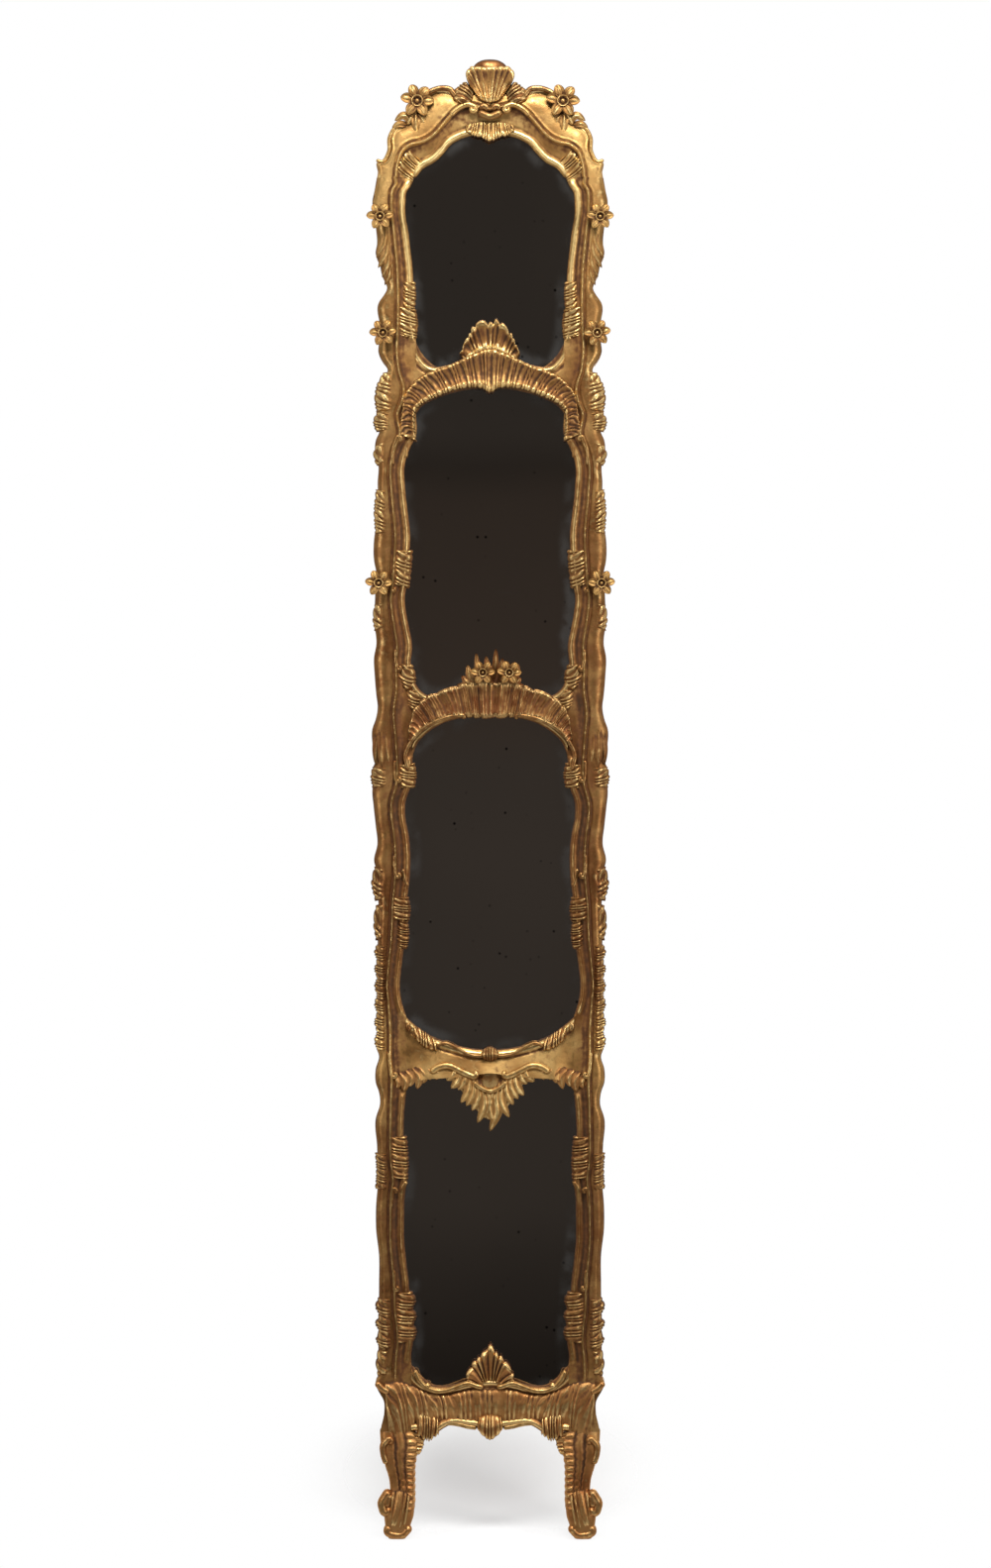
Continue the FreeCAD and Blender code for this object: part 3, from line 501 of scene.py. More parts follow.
# %% [markdown]
# The ridge of the moulding isn't straight: it waves in and out with the edge of the glass. Carving is
# laid on the stile later, so the stile's front is a function that gives its depth at any point of the
# plan, and not only a mesh.

# %% Ground of the stiles
ridge_shares = {
    "rail_1": ((0.0, 140), (0.14, 134), (0.32, 130.5), (0.6, 138), (0.85, 141)),
    "rail_2": ((0.2, 143), (0.55, 146), (0.8, 142)),
    "rail_3": ((0.2, 149), (0.5, 151), (0.8, 151)),
    "apron": ((0.0, 140), (0.3, 138), (0.7, 143)),
}
for zone in ("bay_4", "bay_3", "bay_2", "bay_1"):
    ridge_shares[zone] = [(share, 139.5 + 0.8 * (width - 116)) for share, width in sight_shares[zone]]
ridge_shares["crest"] = ((0.0, 144),)
ridge_line = edge_line(ridge_shares)
apron_field = 9.0
glass_bays = (("bay_4", "rail_3"), ("bay_3", "rail_2"), ("bay_2", "rail_1"), ("bay_1", "crest"))


def beside_glass(z):
    """Share, from 0 to 1 with eased steps, that a height lies beside a sheet of glass and not at a rail."""
    share = np.zeros_like(z)
    for low, high in glass_bays:
        share += ramp(z, foot[low], foot[low] + 9) * ramp(z, foot[high], foot[high] - 9)
    return share


def stile_ground(x, z, plain=False):
    """Depth of the stile's front at points of the plan, from the ridge, the outer edge and the lip."""
    z = np.clip(z, foot["apron"], foot["crest"])
    shape = np.shape(x)
    x = np.abs(x).ravel()
    z = np.broadcast_to(z, shape).ravel()
    ridge = cubic(z, *ridge_line)
    share = np.clip((x - ridge) / (cubic(z, *outer_line) - ridge), 0, 1)
    height = moulding(x - ridge, share, plain)
    if not plain:
        height += beside_glass(z) * lip(np.maximum(x - cubic(z, *sight_line), 0))
    calm = ramp(z, foot["bay_4"], foot["apron"] + 0.7 * rise["apron"])
    return (glass_depth + height + (apron_field - height) * calm).reshape(shape)


# %% [markdown]
# A stile is one long board. At each height a loop goes round it: over the front, down the outer side,
# across the back and into the rebate that holds the glass. The loops stacked up are the stile, and the
# left one is the right one mirrored. The front and most of the side are gilded, and the back is bare.

# %% Stiles
stile_step = 2.0
stile_columns = 60
gilt_sides = 2
plain_hollow = 0.62
lip_reach = 12.0
lip_wear = 0.2
cove_dust = 0.18
low_dust = 0.07


def stile_loops():
    """Loops of the right-hand stile: front from the sight edge outwards, outer side, back and rebate."""
    rows = int((foot["crest"] - foot["apron"]) / stile_step)
    z = np.linspace(foot["apron"], foot["crest"], rows)
    inner = cubic(z, *sight_line)[:, None]
    outer = cubic(z, *outer_line)[:, None]
    x = inner + (outer - inner) * np.linspace(0, 1, stile_columns)[None, :]
    depth = stile_ground(x, z[:, None])
    rim = np.full_like(inner, rebate_half)
    tail = [(outer, 26.0), (outer, 12.0), (outer, 0.0),
            (rim, 0.0), (rim, glass_depth), (inner, glass_depth)]
    all_x = np.concatenate([x] + [edge for edge, _ in tail], 1)
    all_depth = np.concatenate([depth] + [np.full_like(inner, level) for _, level in tail], 1)
    all_z = np.broadcast_to(z[:, None], all_x.shape)
    hollow = 0.6 * hollowness(depth, 5, 6.0) + 0.4 * hollowness(depth, 14, 10.0)
    worn = lip_wear * beside_glass(z) * ramp(z, foot["rail_2"], foot["crest"])
    hollow = hollow - worn[:, None] * ramp(lip_reach - (x - inner), 0, 4)
    hollow = hollow + cove_dust * np.exp(-((x - cubic(z, *ridge_line)[:, None] + 8) / 4) ** 2)
    # The gilding grows browner from the foot of the second bay down to the foot of the second rail, and
    # stays so below.
    hollow = hollow + low_dust * ramp(z, foot["bay_2"], foot["rail_2"])[:, None]
    hollow = np.concatenate((hollow, np.full((rows, len(tail)), plain_hollow)), 1)
    return np.stack([all_x, back_plane - all_depth, all_z], -1), hollow


loops, hollow = stile_loops()
raw = np.zeros(loops.shape[1], bool)
raw[stile_columns + gilt_sides:] = True
for side, name in ((1, "right_stile"), (-1, "left_stile")):
    add_piece("carved_" + name, [(loops * [side, 1, 1], hollow, False)], (gold_frame, pine_upright), raw,
              stands_for=(name,))
print("stile points", loops.shape[0] * loops.shape[1])

# %% [markdown]
# Rails lie between the shoulders. Their plates have shaped edges, and a bar behind them parts the
# sheets of glass. The front carries the stiles' cove on, with a lip along both edges. On the third
# rail it leans back like a sill, so that it catches the light from above.

# %% Edges of the rails
rail_edges = {
    "rail_1": (((1, 0), (0.93, 0.1), (0.77, 0.2), (0.5, 0.3), (0.25, 0.35), (0, 0.36)),
               ((1, 1), (0.935, 0.8), (0.8, 0.67), (0.6, 0.68), (0.27, 0.82), (0, 0.92))),
    "rail_2": (((1, 0), (0.93, 0.16), (0.78, 0.3), (0.58, 0.41), (0.35, 0.465), (0, 0.475)),
               ((1, 1), (0.925, 0.84), (0.8, 0.75), (0.6, 0.77), (0.3, 0.88), (0, 0.93))),
    "rail_3": (((1, 0), (0.93, 0.1), (0.8, 0.16), (0.6, 0.18), (0.3, 0.2), (0, 0.25)),
               ((1, 1), (0.9, 0.9), (0.76, 0.78), (0.6, 0.69), (0.33, 0.595), (0, 0.56))),
    "apron": (((1, 0), (0.94, 0.01), (0.88, -0.05), (0.8, -0.1), (0.68, -0.02), (0.5, 0.1), (0.25, 0.08),
               (0, 0.04)),
              ((1, 1), (0.94, 0.84), (0.82, 0.72), (0.62, 0.68), (0.25, 0.76), (0, 0.8))),
}
rail_nodes = {"rail_1": "rail_1", "rail_2": "rail_2", "rail_3": "rail_3", "apron": "apron_rail"}
rail_lean = {"rail_1": 0.0, "rail_2": 0.0, "rail_3": 11.0, "apron": 0.0}
lower_lip = {"rail_1": 1.0, "rail_2": 1.0, "rail_3": 0.0, "apron": 1.0}


def rail_edge(zone, which, count):
    """Lower edge, 0, or upper edge, 1, of a rail from left to right."""
    half = np.array(rail_edges[zone][which], float) * [shoulder[zone], rise[zone]]
    return line(whole(placed(zone, half)), count)


def distance_to(points, path):
    """Shortest distance of each point from a path, over all of its straight steps."""
    start = path[:-1]
    step = path[1:] - start
    away = points[:, None, :] - start
    share = np.clip(np.sum(away * step, -1) / np.maximum(np.sum(step * step, -1), 1e-9), 0, 1)
    return np.sqrt(np.min(np.sum((away - share[..., None] * step) ** 2, -1), 1))


def across(low, high, columns):
    """Grid of plan points, straight from each point of one line to its partner on the other."""
    share = np.linspace(0, 1, columns)[None, :, None]
    return low[:, None] + (high - low)[:, None] * share


# %% [markdown]
# A rail is made as a stile is, but its loops stand side by side from left to right. Each goes up the
# carved front, back to the glass, round the bar behind and forward again. Two more loops at each end
# carry the bar to the stiles' rebates.

# %% Rails
rail_rows = 260
rail_columns = 46


def bar_levels(zone, low, high):
    """Bottom and top of the bar behind a rail: clear of the glass above and below it."""
    bar_margin = 7.0
    apron_bar = 34.0
    if zone == "apron":
        top = high[:, 1].min() - bar_margin
        return top - apron_bar, top
    return low[:, 1].max() + bar_margin, high[:, 1].min() - bar_margin


def rail_height(zone, plan, low, high):
    """Height of a rail's front: the stiles' cove, rounded at both edges, with a lean in the middle."""
    spots = plan.reshape(-1, 2)
    x = np.abs(spots[:, 0])
    below = distance_to(spots, low)
    above = distance_to(spots, high)
    middle = ramp(shoulder[zone] - x, 0, 34)
    lean = rail_lean[zone] * above / (above + below + 1e-6)
    ground = cove(x - cubic(spots[:, 1], *ridge_line)) + middle * lean
    if zone == "apron":
        ground = np.full_like(x, apron_field)
    return (ground + lower_lip[zone] * lip(below) + lip(above)).reshape(plan.shape[:2])


def rail_loops(zone):
    """Loops of a rail from left to right, with the bar's ends carried into the stiles."""
    low = rail_edge(zone, 0, rail_rows)
    high = rail_edge(zone, 1, rail_rows)
    plan = across(low, high, rail_columns)
    height = rail_height(zone, plan, low, high)
    bar_low, bar_high = bar_levels(zone, low, high)
    ones = np.ones((rail_rows, 1))
    tail_z = [high[:, 1:], bar_high * ones, bar_high * ones, bar_low * ones, bar_low * ones, low[:, 1:]]
    tail_depth = [glass_depth, glass_depth, 0.0, 0.0, glass_depth, glass_depth]
    x = np.concatenate([plan[..., 0]] + [low[:, :1]] * 6, 1)
    z = np.concatenate([plan[..., 1]] + tail_z, 1)
    depth = np.concatenate([glass_depth + height] + [level * ones for level in tail_depth], 1)
    loops = np.stack([x, back_plane - depth, z], -1)
    end = loops[[0, -1]].copy()
    end[:, :rail_columns, 2] = bar_low + (bar_high - bar_low) * np.linspace(0, 1, rail_columns)
    end[:, :rail_columns, 1] = back_plane - glass_depth
    end[:, rail_columns, 2] = bar_high
    end[:, -1, 2] = bar_low
    outer = end.copy()
    outer[:, :, 0] = np.sign(end[:, :, 0]) * rebate_half
    loops = np.concatenate((outer[:1], end[:1], loops, end[1:], outer[1:]))
    hollow = np.full(loops.shape[:2], plain_hollow)
    hollow[2:-2, :rail_columns] = 0.6 * hollowness(height, 5, 4.0) + 0.4 * hollowness(height, 14, 9.0)
    return loops, hollow


for zone, node in rail_nodes.items():
    loops, hollow = rail_loops(zone)
    raw = np.zeros(loops.shape[1], bool)
    raw[rail_columns:] = True
    gold = gold_low if zone == "apron" else gold_frame
    add_piece("carved_" + node, [(loops, hollow, False)], (gold, pine_across), raw, stands_for=(node,))
print("rails", list(rail_nodes.values()))

# %% [markdown]
# The crest closes the frame. Its lower edge arches over the top plate, and its outline has spurs,
# ears and a raised middle. The stiles' ridge runs on as a scroll moulding that swings up to the
# middle. Under it is the cove, and above it a field that leans back to a raised rim.

# %% Crest
crest_rows = 420
crest_columns = 80
crest_low = ((171.5, 0), (150, 0), (130, 0), (116, 0.5), (102, 15), (82, 27), (70, 39), (60, 51),
             (45, 60), (20, 67), (0, 69))
crest_high = ((171.5, 0), (170, 10), (171.5, 24), (160, 26), (151.5, 42), (151.5, 62), (146, 74),
              (130, 84), (117, 112), (100, 127), (75, 134), (56, 130), (46, 124), (30, 133), (0, 136))
crest_scroll = ((143, -4), (140, 20), (131, 42), (119, 50), (106, 53), (94, 58), (82, 67.5), (73, 78),
                (64, 88.5), (55, 98), (46, 104.5), (37, 108.5), (29, 109), (20, 107), (10, 104), (0, 103))
crest_back = 8.0
crest_lean = 4.0


def crest_height(plan, low, high):
    """Height of the crest and distance outwards from its scroll line.

    The moulding follows that line, and the field above it leans back and ends in a rim.
    """
    spots = plan.reshape(-1, 2)
    below = distance_to(spots, low)
    above = distance_to(spots, high)
    scroll = line(placed("crest", crest_scroll), 140)
    side = spots.copy()
    side[:, 0] = np.abs(side[:, 0])
    away = distance_to(side, scroll)
    level = np.interp(side[:, 0], scroll[::-1, 0], scroll[::-1, 1])
    outside = np.where(side[:, 1] > level, away, -away)
    share = np.clip(outside / (np.maximum(outside, 0) + above + 1e-6), 0, 1)
    rim = 3.2 * np.exp(-((above - 3.5) / 2.6) ** 2) - 2.0 * np.exp(-(above / 1.8) ** 2)
    over_glass = ramp(shoulder["crest"] + 4 - side[:, 0], 0, 8)
    height = moulding(outside, share) + over_glass * lip(below)
    height = height - crest_lean * share + rim * ramp(outside, 2, 9)
    return height.reshape(plan.shape[:2]), outside.reshape(plan.shape[:2])


def crest_loops():
    """Loops of the crest from left to right: front from the sight edge up, then the back."""
    low = line(whole(placed("crest", crest_low)), crest_rows)
    high = line(whole(placed("crest", crest_high)), crest_rows)
    plan = across(low, high, crest_columns)
    height, outside = crest_height(plan, low, high)
    back = across(high, low, 3)
    x = np.concatenate((plan[..., 0], back[..., 0]), 1)
    z = np.concatenate((plan[..., 1], back[..., 1]), 1)
    depth = np.concatenate((glass_depth + height, np.full((crest_rows, 3), crest_back)), 1)
    hollow = 0.6 * hollowness(height, 5, 6.0) + 0.4 * hollowness(height, 14, 12.0)
    hollow = hollow + cove_dust * np.exp(-((outside + 7) / 4) ** 2)
    from_sight = np.linalg.norm(plan - low[:, None], axis=-1)
    over_glass = ramp(shoulder["crest"] - np.abs(plan[..., 0]), 0, 8)
    hollow = hollow - lip_wear * ramp(lip_reach - from_sight, 0, 4) * over_glass
    hollow = np.concatenate((hollow, np.full((crest_rows, 3), plain_hollow)), 1)
    return np.stack([x, back_plane - depth, z], -1), hollow


loops, hollow = crest_loops()
raw = np.zeros(loops.shape[1], bool)
raw[crest_columns:] = True
add_piece("carved_crest", [(loops, hollow, False)], (gold_frame, pine_across), raw,
    stands_for=("crest_rail",))
print("crest points", loops.shape[0] * loops.shape[1])

# %% [markdown]
# Most of the ornament is one idea: ribs that run from a lower line to an upper line. A row of ribs
# between two short lines is a gadroon, between a hub and an arc it is a shell, between two edges of
# a rail it is a fluted band, and with ragged tips it is a leaf. So one function makes them all. A
# carver's ribs are never equal, so their widths wander, and each leans to one side like a wave.

# %% Ribs between two lines
strand_samples = 5
rib_lean = 0.35
rib_sink = 1.6
rib_side_hollow = 0.8


def rib_section(phase):
    """Section of a rib, the root of 1 - c squared, where c goes from -1 to 1 and leans to one side."""
    c = 2 * (phase % 1) - 1
    c = c + rib_lean * (1 - c * c)
    return np.sqrt(np.clip(1 - c * c, 0, 1))


def rib_size(phase):
    """A size from 0 to 1 that differs from rib to rib."""
    return 0.5 + 0.5 * np.sin(2.4 * np.floor(phase) + 0.7)


def ribbed(name, low, high, ribs, crown, swell, seat=None, strands=2, strand=0.35, scallop=(0.0, 1.5),
           ragged=0.0, flow=0.0, finish=None, stands_for=(), columns=22, fanned=False,
           dust=((0, 0), (1, 0)), fade=(0.16, 0.16)):
    """Block of ribs from a low to a high line of the plan.

    Along the lines the phase counts the ribs, with a wandering step, and flow carries it sideways along
    a rib, to both sides where fanned. Across, v goes from the low line to the high one, and crown lists
    the heights along it, and the list of dust and painted shade how much browner it is: dust, painted
    shade where the ribs face away from the light, and painted light where it is below nought. The edges
    move out with the ribs' sections by scallop, and between the ribs the high edge is cut back by the
    share ragged. With a seat the block stands on that depth. Without one it grows out of the stile's
    surface, and sinks in at its borders, over the shares of its breadth that fade gives for the low and
    the high line.
    """
    samples = max(ribs * strands * strand_samples, 30) + 1
    t = np.linspace(0, 1, samples)
    low = line(low, samples)
    high = line(high, samples)
    wander = 0.3 * np.sin(1.7 * ribs * t + 0.6)
    phase = ribs * t + wander - wander[0] - (wander[-1] - wander[0]) * t
    sideways = flow * (1 - 2 * t) if fanned else flow + 0 * t
    reach = np.linalg.norm(high - low, axis=1) + 1e-6
    outward = (high - low) / reach[:, None]
    tip = rib_section(phase + sideways)
    cut = ragged * reach * (1 - tip + 0.5 * rib_size(phase + sideways))
    high = high + outward * (scallop[1] * tip - cut)[:, None]
    low = low - outward * (scallop[0] * rib_section(phase))[:, None]
    plan = across(low, high, columns)
    v = np.linspace(0, 1, columns)[None, :]
    shift = phase[:, None] + sideways[:, None] * v ** 2
    section = rib_section(shift) * (0.8 + 0.4 * rib_size(shift))
    along, heights = np.array(crown, float).T
    height = cubic(v[0], along, heights)[None, :] + swell * (section - 0.5)
    height = height + strand * np.cos(2 * np.pi * strands * shift)
    border = np.minimum(v / fade[0], (1 - v) / fade[1])
    end = np.minimum(t, 1 - t)[:, None] * ribs / 0.45
    if seat is None:
        mask = ramp(border, 0, 1) * ramp(end, 0, 1)
        depth = stile_ground(plan[..., 0], plan[..., 1], plain=True) + height * mask - rib_sink * (1 - mask)
        seat = glass_depth + 0.5
    else:
        rounded = 0.35 + 0.65 * np.sqrt(1 - (1 - np.clip(border, 0, 1)) ** 2)
        mask = rounded * (0.25 + 0.75 * ramp(end, 0, 1))
        depth = seat + np.maximum(height * mask, 0.4)
    x = np.concatenate((plan[..., 0], high[:, :1], low[:, :1]), 1)
    z = np.concatenate((plan[..., 1], high[:, 1:], low[:, 1:]), 1)
    all_depth = np.concatenate((depth, np.full((samples, 2), seat)), 1)
    hollow = hollowness(height * mask, 4, 3.6) + np.interp(v, *np.array(dust).T)
    hollow = np.concatenate((hollow, np.full((samples, 2), rib_side_hollow)), 1)
    loops = np.stack([x, back_plane - all_depth, z], -1)
    return add_piece(name, [(loops, hollow, False)], (finish or gold_frame,), stands_for=stands_for)


def ribbed_pair(name, zone, low, high, *sizes, **settings):
    """The same ribs on the right-hand and the left-hand side."""
    for side, word in ((1, "right"), (-1, "left")):
        ribbed(f"{name}_{word}", placed(zone, low) * [side, 1], placed(zone, high) * [side, 1], *sizes,
               **settings)


def fan(name, zone, low, high, *sizes, **settings):
    """Ribs over the middle, from the right half of their two lines."""
    low = whole(placed(zone, low))
    high = whole(placed(zone, high))
    return ribbed(name, low, high, *sizes, fanned=True, **settings)


# %% [markdown]
# Leaves are made of single blades instead. A blade follows a path, swells and closes along it, and has
# a rib in the middle. A fringe is a row of such blades from one line to another, as in an acanthus.

# %% Leaf blades
blade_rows = 20
front_turn = np.linspace(-1, 1, 13)
blade_turn = np.concatenate((front_turn, np.linspace(0.8, -0.8, 7)))
on_front = (np.arange(len(blade_turn)) < len(front_turn))[None, :]


def blade(path, width, level, lift, thick=6.0):
    """Loops and hollow numbers of one blade along a path of the plan.

    Its half width is a power of a sine of the share along it. Its front is a low arch across with a rib
    in the middle, on a level that rises and falls along the path by lift, as a sine.
    """
    path = line(path, blade_rows)
    tangent = np.gradient(path, axis=0)
    tangent /= np.linalg.norm(tangent, axis=1)[:, None]
    u = np.linspace(0, 1, blade_rows)[:, None]
    w = blade_turn[None, :]
    wide = width / 2 * (np.sin(np.pi * (0.2 + 0.8 * u)) ** 0.7 + 0.03)
    x = path[:, :1] - tangent[:, 1:] * wide * w
    z = path[:, 1:] + tangent[:, :1] * wide * w
    rib = np.cos(2 * np.pi * w) * (1 - 0.6 * u)
    arch = level + lift * np.sin(np.pi * (0.1 + 0.75 * u))
    front = arch + 0.4 * wide * (1 - w ** 2) + 1.2 * rib
    back = arch - thick * (1 - 0.7 * u) * (1 - 0.6 * w ** 2)
    depth = np.where(on_front, front, back)
    hollow = np.where(on_front, np.clip(0.3 - 0.2 * rib + 0.45 * w ** 4 + 0.35 * (1 - u) ** 2, 0, 1), 0.85)
    return np.stack([x, back_plane - depth, z], -1), hollow, False


def leaf(name, zone, blades, finish, both=False, stands_for=()):
    """One piece of blades, given as path, width, level and lift, on both sides where both is true."""
    sides = (1, -1) if both else (1,)
    skins = [blade(placed(zone, path) * [side, 1], *sizes) for side in sides for path, *sizes in blades]
    return add_piece(name, skins, (finish,), stands_for=stands_for)


def fringe(low, high, count, width, bend, level, lift):
    """Row of blades from a low to a high line, bowed towards the middle, with uneven lengths."""
    starts = line(low, count)
    reach = (line(high, count) - starts) * (1 + 0.14 * np.sin(2.4 * np.arange(count)))[:, None]
    bow = bend * np.sign(starts[:, :1]) * np.stack([reach[:, 1], -reach[:, 0]], -1)
    paths = np.stack([starts, starts + 0.5 * reach + bow, starts + reach], 1)
    return [(path, width, level, lift) for path in paths]


# %% [markdown]
# The three fluted bands: on the first rail the ribs turn the corners and end in a ragged lip that
# flares towards the viewer, on the second they hang between a wavy top and a bead, and on the apron
# they run from knee to knee under a pale moulding.

# %% Fluted bands
plate_seat = glass_depth + 4.0
# The flutes are browner all along and most at the top: painted shade on the upper part, which turns down
# and away from the light above.
fan("rail_1_flutes", "rail_1",
    ((113, -43), (115.5, -13), (113, 7), (104, 15), (91, 22), (74, 29), (55, 36), (30, 40), (12, 39),
     (0, 32)),
    ((139, -34), (136, -16), (133, 4), (130, 26), (119, 42), (105, 55), (86, 64), (65, 71), (43, 81),
     (20, 92), (0, 98)), 61, ((0, 14.5), (0.12, 14), (0.4, 8.5), (0.75, 10), (1, 14)), 2.4,
    seat=plate_seat, strands=1, strand=0.0, scallop=(3.0, 0.8), columns=40, flow=3.0, finish=gold_frame,
    dust=((0, 0.12), (0.15, 0.13), (0.35, 0.12), (0.7, 0.2), (0.9, 0.27), (1, 0.36)))
fan("rail_2_flutes", "rail_2",
    ((122, 8), (117, 22), (107, 36), (95, 45), (83, 51), (59, 58), (38, 59), (16, 57.5), (0, 57)),
    ((124, 18), (121, 44), (115, 66), (104, 80), (90, 89), (74, 95), (53, 102), (38, 107), (18, 109),
     (0, 110)), 17, ((0, 12), (0.3, 9), (0.7, 9), (1, 12.5)), 3.4, seat=plate_seat, strands=4, strand=0.7,
    scallop=(3.0, 3.4), columns=36, flow=0.5, finish=gold_aged_and_shade)
fan("apron_flutes", "apron",
    ((153, -12), (144, -22), (132, -18), (118, 4), (96, 12), (74, 16), (48, 11), (24, 9), (0, 11)),
    ((162, 72), (150, 76), (134, 76), (115, 69), (92, 60), (64, 57), (38, 63), (18, 66), (0, 64)), 37,
    ((0, 1), (0.2, 5), (0.5, 9), (1, 7)), 2.2, seat=plate_seat + 2, strands=2, strand=0.4,
    scallop=(0, 1.0), flow=3.0, columns=36, finish=gold_low,
    dust=((0, 0.12), (0.3, -0.08), (0.55, -0.1), (0.8, 0.14), (1, 0.24)))
print("fluted bands 3")

# %% [markdown]
# Fans grow out of the rails: the crest's great shell with its plain lobe behind and wings beside, the
# drop shell over the glass, two sprays, the long leaf pendant, the apron's palmette and its drop.

# %% Shells, sprays and palmettes
fan_seat = glass_depth + 8.0
# The shell's top is browner: painted shade where it curls forward and faces down.
fan("crest_shell_flutes", "crest", ((19, 122), (11, 114), (0, 111)),
    ((26, 130), (33, 143), (36, 156), (30, 165), (15, 166), (0, 166)), 11,
    ((0, 13), (0.3, 10.5), (0.65, 11), (0.9, 16), (1, 18)), 2.6, seat=fan_seat, strands=2, strand=0.5,
    scallop=(0, 1.6), columns=44, flow=0.7, stands_for=("crest_shell",), finish=gold_bright,
    dust=((0, 0.1), (0.2, -0.05), (0.5, -0.05), (0.8, 0.2), (1, 0.25)))
# The lobe behind the shell is browner all over: painted shadow, since it lies in the shell's shade.
fan("crest_back_lobe", "crest", ((24, 124), (12, 120), (0, 118)),
    ((27, 161), (24, 171), (14, 178), (0, 180)), 1, ((0, 7), (0.6, 10), (1, 6)), 1.0,
    seat=glass_depth + 2, strand=0.1, scallop=(0, 0), finish=gold_aged_and_shade, dust=((0, 0.22), (1, 0.22)))
ribbed_pair("crest_wing", "crest", ((36, 104), (27, 114), (24, 128)),
    ((55, 115), (52, 129), (44, 139), (35, 144)), 5, ((0, 9), (0.5, 12), (1, 8)), 4.0, seat=fan_seat,
    scallop=(0, 2.4), finish=gold_aged_and_shade, flow=0.8)
fan("drop_shell_flutes", "crest", ((37, 80), (18, 85), (0, 86)), ((37, 73), (29, 66), (14, 62), (0, 56)),
    17, ((0, 2), (0.4, 4), (0.8, 8), (1, 8)), 2.6, seat=fan_seat, strand=0.2, scallop=(0, 2.4),
    stands_for=("drop_shell",), finish=gold_bright, flow=1.6)
# Its lower part is lighter and its upper part browner: painted light where it faces up, painted shade where
# it faces down.
fan("rail_1_spray_leaf", "rail_1", ((40, 79), (24, 88), (0, 95)),
    ((46, 88), (38, 106), (31, 122), (22, 135), (9, 141), (0, 138)), 13,
    ((0, 10), (0.35, 5), (0.8, 10), (1, 15)), 3.4, seat=fan_seat - 2, ragged=0.12, scallop=(0, 2.0),
    strands=2, stands_for=("rail_1_spray",), finish=gold_frame, flow=1.2,
    dust=((0, -0.1), (0.3, -0.05), (0.6, 0.22), (0.9, 0.25), (1, 0.18)))
leaf("rail_2_spray_leaf", "rail_2", (
    (((4, 104), (8, 132), (9, 161)), 11, plate_seat + 5, 4),
    (((12, 104), (17, 128), (19, 147)), 11, plate_seat + 4, 4),
    (((-4, 104), (-4, 128), (-6, 150)), 12, plate_seat + 4, 4),
    (((-10, 104), (-18, 130), (-21, 154)), 11, plate_seat + 5, 4),
    (((-18, 104), (-30, 118), (-34, 136)), 13, plate_seat + 4, 4),
    (((-22, 102), (-34, 110), (-43, 120)), 13, plate_seat + 4, 4),
    (((-24, 100), (-38, 104), (-50, 106)), 12, plate_seat + 4, 4),
    (((24, 104), (38, 120), (43, 138)), 13, plate_seat + 4, 4),
    (((26, 102), (38, 108), (47, 117)), 13, plate_seat + 4, 4),
    (((28, 100), (40, 103), (52, 105)), 12, plate_seat + 4, 4),
    (((0, 100), (-2, 118), (-2, 136)), 34, plate_seat + 2, 2)), gold_aged_and_shade, stands_for=("rail_2_spray",))
fan("rail_3_pendant_plate", "rail_3", ((66, 38), (50, 33), (34, 27), (18, 20), (0, 16)),
    ((60, 22), (48, 8), (38, -8), (26, -24), (12, -36), (0, -44)), 9, ((0, 4), (0.4, 4.5), (1, 7)), 1.4,
    seat=fan_seat - 3, scallop=(0, 0), columns=30, flow=-1.0, stands_for=("rail_3_pendant",),
    finish=gold_frame)
pendant_low = whole(((52, 40), (40, 33), (30, 26), (20, 17), (10, 9), (0, 6)))
pendant_high = whole(((66, 17), (56, 5), (46, -8), (38, -21), (29, -32), (19, -40), (9, -47), (0, -57)))
leaf("rail_3_pendant_leaf", "rail_3", fringe(pendant_low, pendant_high, 17, 17, 0.16, fan_seat - 1, 6),
    gold_bright)
leaf("rail_3_corner_leaf", "rail_3",
    fringe(((146, 24), (130, 31), (110, 36), (86, 38)), ((142, 4), (121, 3), (104, 10), (82, 20)), 7, 15,
           0.2, plate_seat + 4, 4), gold_low, both=True)
# The cup is made lighter than its hollow numbers would make it: painted light in a hollow that the beads
# round it shade.
fan("rail_3_cup_hollow", "rail_3", ((24, 32), (12, 33), (0, 33)), ((24, 16), (13, 6), (0, 1)), 1,
    ((0, 8), (0.5, 7), (1, 9)), 0.3, seat=plate_seat, strand=0.0, scallop=(0, 0), finish=gold_low,
    dust=((0, -0.1), (1, -0.2)))
fan("apron_palmette_leaf", "apron", ((17, 70), (8, 74), (0, 76)),
    ((35, 75), (34, 89), (27, 102), (18, 112), (9, 121), (0, 132)), 11, ((0, 6), (0.5, 8), (1, 12)), 5.0,
    seat=fan_seat - 2, ragged=0.06, scallop=(0, 2.4), columns=34, stands_for=("apron_palmette",),
    finish=gold_low, flow=0.5, dust=((0, 0.1), (0.6, 0.12), (0.85, 0.05), (1, -0.1)))
fan("apron_drop_flutes", "apron", ((18, 23), (8, 27), (0, 28)), ((20, 7), (11, -4), (0, -10.5)), 7,
    ((0, 6), (0.5, 13), (1, 9)), 3.8, seat=fan_seat, scallop=(0, 1.5), stands_for=("apron_drop",),
    finish=gold_low)
fan("rail_3_knob", "rail_3", ((14, 54), (8, 47), (0, 45)), ((14.5, 57), (8, 65), (0, 68)), 7,
    ((0, 4), (0.5, 12), (1, 4)), 3.0, seat=fan_seat, scallop=(0, 0.5), finish=gold_aged_and_shade)
print("fans done")

# %% [markdown]
# Along the stiles, stacks of ribs gather at the necks of the waves, and scalloped borders run down
# the outer edges. They grow out of the stile's own moulding and fade into it on the side away from the
# edge. They are listed from the top down, and low down they are browner.

